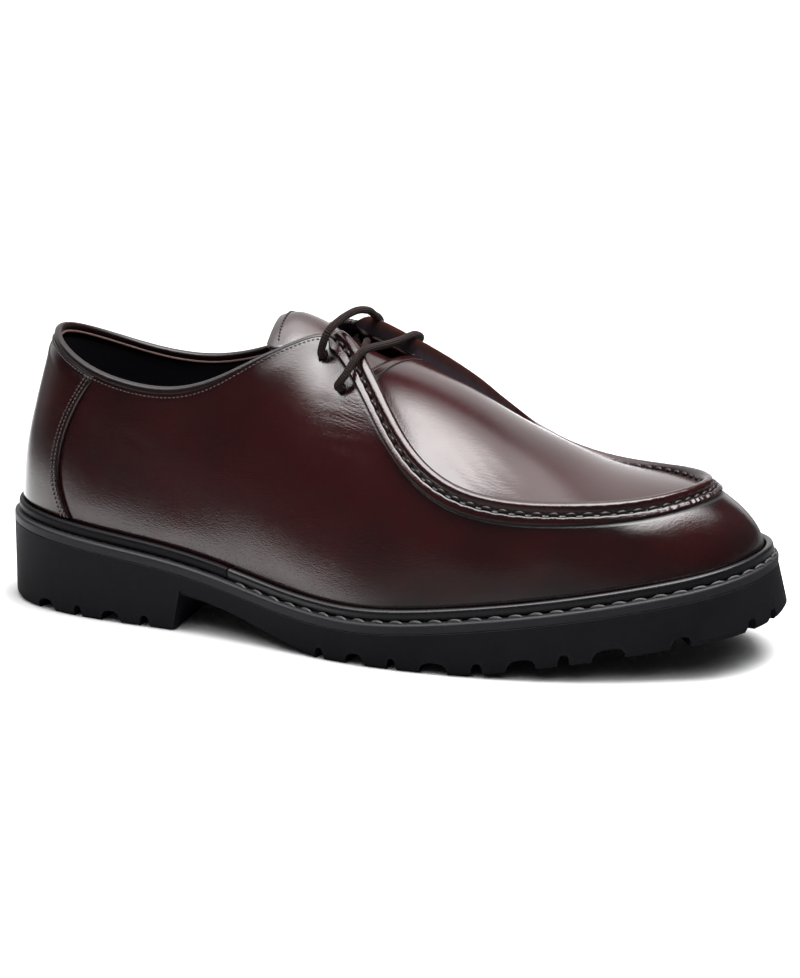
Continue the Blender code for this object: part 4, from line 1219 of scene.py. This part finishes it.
# Tread notches on both sides, and grooves across the middle: place along the foot and width at the floor
SIDE_NOTCHES = ((21, 7.0), (36, 3.0), (50.5, 7.0), (65, 3.4), (140, 3.0), (154.5, 6.5), (169, 3.0),
                (185, 9.0), (201, 3.6), (217, 9.0), (232, 3.6), (247.5, 10.0), (271.5, 6.0), (291, 4.0))
CROSS_GROOVES = ((30, 4.0), (56, 4.0), (162, 4.0), (185, 5.0), (209, 5.0), (233, 5.0), (257, 4.0))


def ground(x):
    """Underside of the sole: heel, breast, arch, flat tread and toe spring."""
    heel = np.interp(x, (BREAST_LOW, BREAST_HIGH), (0, ARCH[0][1]))
    rise = np.clip(x - SPRING_START, 0, SPRING_END - SPRING_START)
    spring = SPRING_SLOPE * (rise**2 / (2 * (SPRING_END - SPRING_START)) + np.clip(x - SPRING_END, 0, None))
    return np.where(x < BREAST_HIGH, heel, np.where(x < ARCH[-1][0], smooth(ARCH, x), spring))


def notch(t, width):
    """A tread notch at the sole's edge, with a rounded roof and a wide mouth at the floor."""
    plan, out = outline(np.array([t]))
    side = np.array([-out[0, 1], out[0, 0]])
    section = [(-0.66 * width, -2.0)]
    for turn in np.linspace(0, math.pi, 9):
        across, height = rounded_step(turn, NOTCH_POWER)
        section.append(((across - 0.5) * 1.2 * width, LUG_DEPTH * height))
    section.append((0.66 * width, -2.0))
    points = []
    for reach in (6.0, -LUG_REACH):
        for along, height in section:
            x, y = plan[0] + side * along + out[0] * reach
            floor = float(ground(np.array(max(x, ARCH[-1][0]) if x > BREAST_HIGH else min(x, BREAST_LOW))))
            points.append((x, y, floor + height))
    return tube(np.array(points).reshape(2, -1, 3))


def cross_groove(x, width):
    """A groove across the middle of the tread."""
    plan = outline(rounds, LUG_REACH - 2.0)[0]
    middle = len(rounds) // 2
    outer = np.interp(x, plan[:middle, 0], plan[:middle, 1])
    inner = np.interp(x, plan[middle:, 0][::-1], plan[middle:, 1][::-1])
    corners = []
    for below, spread in ((True, 0.6), (False, 0.38)):
        for along, y in ((-1, outer), (1, outer), (1, inner), (-1, inner)):
            place = x + along * width * spread
            floor = float(ground(np.array(place)))
            corners.append((place, y, floor - 2.0 if below else floor + LUG_DEPTH - 0.6))
    sides = [[i, (i + 1) % 4, (i + 1) % 4 + 4, i + 4] for i in range(4)]
    return np.array(corners, float), [[0, 1, 2, 3], [4, 5, 6, 7]] + sides


def outsole_roof(x):
    return sole_top(x) - BAND - SEAT


flare = -TOE_FLARE * ease(outline(rounds)[0][:, 0], 262, 296)
SOLE_TONES = (0.0050, 0.0047, 0.0064, 1), (0.0088, 0.0084, 0.0106, 1)
sole_rubber = rubber_finish("sole rubber", *SOLE_TONES, rough=0.56, strength=0.40, shine=0.10)
outsole = plate("outsole_rubber", [
    ring(rounds, flare + 1.2, ground),
    ring(rounds, flare, lambda x: np.minimum(ground(x) + 2.0, outsole_roof(x) - 4)),
    ring(rounds, flare * 0.1, lambda x: outsole_roof(x) - 1.5),
    ring(rounds, 0.0, lambda x: outsole_roof(x) - 0.2),
    ring(rounds, 0.2, outsole_roof),
], sole_rubber, 40)
notches = []
for place, width in SIDE_NOTCHES:
    for half in (slice(0, toe_index), slice(toe_index, None)):
        notches.append(notch(dense_t[half][np.argmin(abs(dense_x[half] - place))], width))
toe = dense_t[toe_index]
for end, width in ((0.0, 6.0), (toe - 0.45, 4.0), (toe + 0.45, 4.0)):
    notches.append(notch(end, width))
grooves = [cross_groove(*row) for row in CROSS_GROOVES]
cut(outsole, piece("tread_cutter", *merged(notches + grooves)), overlapping=True)
rounding = outsole.modifiers.new("rounding", "BEVEL")
rounding.width = 0.0005
rounding.segments = 2
rounding.limit_method = "ANGLE"
rounding.angle_limit = math.radians(38)
settle(outsole)
outsole.data.shade_smooth()
outsole.data.set_sharp_from_angle(angle=math.radians(35))
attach(outsole, "root")
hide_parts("outsole")

# Lace
# A round waxed cotton cord 3 mm thick, plaited fine and grey-brown, laced through four plain punched holes.
# It crosses the throat twice in bars and once under the facings. One end stops behind the outer top hole,
# the other behind the inner lower hole.
LACE_RADIUS = 1.45
LACE_SIDES = 16
LACE_STEP = 0.7

# The lace between its holes, as rows of x, y and height
UPPER_BAR = ((135.0, -24.5, 116.4), (137.4, -17.5, 119.8), (140.0, -7.0, 121.2), (141.4, 3.0, 119.4),
             (141.6, 10.0, 116.2), (141.0, 16.5, 113.8), (139.6, 21.5, 110.8))
LACE_CROSSING = ((136.2, 15.4, 101.0), (137.2, 13.2, 104.2), (139.6, 7.0, 106.6), (142.4, -3.0, 107.4),
                 (143.4, -12.5, 103.8), (142.6, -19.0, 99.0))
LOWER_BAR = ((144.6, -31.6, 103.4), (147.2, -26.6, 108.9), (149.0, -20.0, 110.4), (151.0, -2.0, 108.4),
             (152.6, 9.0, 107.8), (153.6, 15.5, 107.8), (154.2, 21.0, 107.2), (154.4, 26.0, 104.4))


def rounded_path(points, step):
    """A smooth path through points, with even steps."""
    points = np.asarray(points, float)
    padded = np.concatenate([2 * points[:1] - points[1:2], points, 2 * points[-1:] - points[-2:-1]])
    path = []
    for a, b, c, d in zip(padded, padded[1:], padded[2:], padded[3:]):
        for f in np.arange(0, 1, min(1.0, step / np.linalg.norm(c - b))):
            bend = (2 * a - 5 * b + 4 * c - d) * f**2 + (3 * b - a - 3 * c + d) * f**3
            path.append(0.5 * (2 * b + (c - a) * f + bend))
    return np.array(path + [points[-1]])


def through(side, level, order):
    """Points of the lace through one eyelet, from inside to outside, or the other way with order -1."""
    point, normal = eyelets[side, level]
    return [point + normal * depth for depth in (-4.6, -1.0, 3.2)][::order]


lace_path = through("outer", "upper", 1) + list(UPPER_BAR) + through("inner", "upper", -1)
lace_path += list(LACE_CROSSING)
lace_path += through("outer", "lower", 1) + list(LOWER_BAR) + through("inner", "lower", -1)
cord, cord_tree, cord_shader = finish("waxed cord", Roughness=0.62, Specular_IOR_Level=0.14)
weave = partial(calculate, cord_tree)
weave_place = add(cord_tree, "SeparateXYZ", {0: add(cord_tree, "UVMap", uv_map="thread").outputs[0]}).outputs
strands = []
for hand in (1, -1):
    spiral = weave("MULTIPLY_ADD", weave_place[0], 6.0 * hand, weave("MULTIPLY", weave_place[1], 0.6))
    strands.append(weave("SINE", weave("MULTIPLY", spiral, 2 * math.pi)))
plait = weave("MULTIPLY_ADD", weave("MULTIPLY", *strands), 0.5, 0.5)
# The plait's hollows are painted dark and its strands pale, following its relief: painted shade in the weave
cord_tone = mix_colours(cord_tree, plait, (0.0060, 0.0040, 0.0038, 1), (0.050, 0.034, 0.031, 1))
cord_tree.links.new(cord_tone, cord_shader.inputs["Base Color"])
relief(cord_tree, cord_shader, plait, 1.0, 0.0010)
lace_line = rounded_path(lace_path, LACE_STEP)
lace_far = lengths(lace_line)
lace_corners = stack(np.arange(LACE_SIDES + 1) / LACE_SIDES, lace_far[:, None]).reshape(-1, 2)
corner_number = np.arange(len(lace_corners)).reshape(len(lace_far), -1)
lace_turns = [lace_corners[np.ravel(quads(corner_number))]]
lace_turns += [np.full((LACE_SIDES, 2), (0.0, end)) for end in lace_far[[0, -1]]]
lace_mesh = threads([lace_line], LACE_RADIUS, LACE_SIDES)
lace = piece("lace_cord", *lace_mesh, cord, turns=np.concatenate(lace_turns))
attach(lace, "root")
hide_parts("lace")

# Floor, light and camera
# A plain white paper floor under an overhead soft light; the polish mirrors a panel and the wall behind.
# The camera stands low in front of the shoe's outer side, turned towards the toe, as in the photograph.
scene = bpy.context.scene
paper, paper_tree, paper_shader = finish("white paper", Roughness=0.9, Specular_IOR_Level=0.1)
paper_place = add(paper_tree, "SeparateXYZ", {0: place_on(paper_tree)}).outputs


def fade(tree, value, low, high, start, end):
    """A smooth step from a start to an end value."""
    sockets = {"Value": value, "From Min": low, "From Max": high, "To Min": start, "To Max": end}
    return add(tree, "MapRange", sockets, interpolation_type="SMOOTHSTEP").outputs[0]


# How bright the floor is in the polish, painted by place along and across: a painted shadow dims it near the
# shoe, and a painted bright patch lies in front
on_paper = partial(fade, paper_tree)
along, across = paper_place[0], paper_place[1]
aside = calculate(paper_tree, "ABSOLUTE", across)
clear = calculate(paper_tree, "MAXIMUM", on_paper(aside, 0.072, 0.095, 0.3, 1.0),
                  on_paper(along, -0.21, -0.25, 0.3, 1.0))
gleam = product(paper_tree, on_paper(along, 0.0, -0.08, 0.12, 1.45),
                on_paper(across, -0.135, -0.106, 0.03, 1.0), on_paper(along, -0.55, -0.30, 0.08, 1.0), clear)
front_gleam = product(paper_tree, on_paper(along, -0.14, 0.0, 0.0, 0.14),
                      on_paper(along, 0.16, 0.09, 0.1, 1.0))
gleam = calculate(paper_tree, "ADD", gleam, front_gleam)
ray_path = add(paper_tree, "LightPath").outputs
paper_tone = mix_colours(paper_tree, ray_path["Is Camera Ray"], (0.86, 0.86, 0.86, 1), (0.95, 0.95, 0.95, 1))
paper_tone = mix_colours(paper_tree, ray_path["Is Glossy Ray"], paper_tone, gleam)
paper_tree.links.new(paper_tone, paper_shader.inputs["Base Color"])
floor_mesh = bpy.data.meshes.new("floor")
floor_mesh.from_pydata([(-9, -0.5, 0), (9, -0.5, 0), (9, 15, 0), (-9, 15, 0)], [], [(0, 1, 2, 3)])
floor_mesh.materials.append(paper)
floor = bpy.data.objects.new("floor", floor_mesh)
scene.collection.objects.link(floor)

world = bpy.data.worlds.new("studio")
scene.world = world
world.use_nodes = True
sky = world.node_tree
sky.nodes.clear()
ray = add(sky, "SeparateXYZ", {0: add(sky, "TexCoord").outputs["Generated"]}).outputs

# Diffuse light comes from a white ceiling; the polish mirrors a large panel, the wall behind and a dim front
in_sky = partial(fade, sky)
sky_math = partial(calculate, sky)
ceiling = in_sky(ray[2], 0.55, 0.95, 0.03, 2.4)
level_z = sky_math("MAXIMUM", ray[2], 0.02)
panel_x = sky_math("DIVIDE", ray[0], level_z)
panel_y = sky_math("DIVIDE", ray[1], level_z)
slanted = sky_math("MULTIPLY_ADD", panel_x, -0.25, panel_y)
forward = sky_math("MULTIPLY_ADD", panel_x, 0.8, sky_math("MULTIPLY", panel_y, -1.0))
panel = product(sky, in_sky(forward, -0.20, 0.30, 2.6, 14.0), in_sky(panel_x, 0.88, 0.64, 0.0, 1.0),
                in_sky(panel_x, -1.5, -1.0, 0.0, 1.0), in_sky(slanted, 0.72, 0.42, 0.0, 1.0),
                in_sky(panel_y, -1.45, -0.55, 0.0, 1.0), in_sky(ray[2], 0.1, 0.3, 0.0, 1.0))
beside = sky_math("MULTIPLY_ADD", ray[1], -0.22, ray[0])
behind = product(sky, in_sky(beside, 0.06, -0.03, 0.04, 1.1), in_sky(ray[1], -0.1, 0.4, 0.0, 1.0))
front = in_sky(ray[1], -0.4, -0.95, 0.03, 0.07)
mirrored = sky_math("ADD", sky_math("ADD", panel, behind), front)
path = add(sky, "LightPath").outputs
glow = mix_colours(sky, path["Is Glossy Ray"], ceiling, mirrored)
shown = mix_colours(sky, path["Is Camera Ray"], glow, (1.0, 1.0, 1.0, 1))
backdrop = add(sky, "Background", {"Color": shown, "Strength": 1.0})
add(sky, "OutputWorld", {"Surface": backdrop.outputs[0]})

LAMP_PLACE, LAMP_AIM = Vector((0.24, 0.12, 0.98)), Vector((0.04, 0.02, 0.05))
lamp = bpy.data.lights.new("overhead", "AREA")
lamp.shape = "RECTANGLE"
lamp.size, lamp.size_y = 0.80, 0.75
lamp.energy = 17.0
overhead = bpy.data.objects.new("overhead", lamp)
overhead.location = LAMP_PLACE
overhead.rotation_euler = (LAMP_AIM - LAMP_PLACE).to_track_quat("-Z", "Y").to_euler()
overhead.visible_glossy = False
scene.collection.objects.link(overhead)

AZIMUTH, ELEVATION, DISTANCE = math.radians(18.22), math.radians(15.56), 1.2
AIM = (150.0, 0.0, 55.0)
TALL_PIXELS, FOCAL_PIXELS = 978, 3204
SHIFT_PIXELS = (12.45, -7.38)
SENSOR = 36
aim = Vector((np.array(AIM) - SHIFT) / 1000)
level = math.cos(ELEVATION)
back = Vector((math.sin(AZIMUTH) * level, -math.cos(AZIMUTH) * level, math.sin(ELEVATION)))
lens = bpy.data.cameras.new("camera")
lens.lens = FOCAL_PIXELS / TALL_PIXELS * SENSOR
lens.sensor_width = SENSOR
lens.shift_x, lens.shift_y = (pixels / TALL_PIXELS for pixels in SHIFT_PIXELS)
camera = bpy.data.objects.new("camera", lens)
camera.location = aim + back * DISTANCE
camera.rotation_euler = back.to_track_quat("Z", "Y").to_euler()
scene.collection.objects.link(camera)
scene.camera = camera
scene.view_settings.view_transform = "Standard"
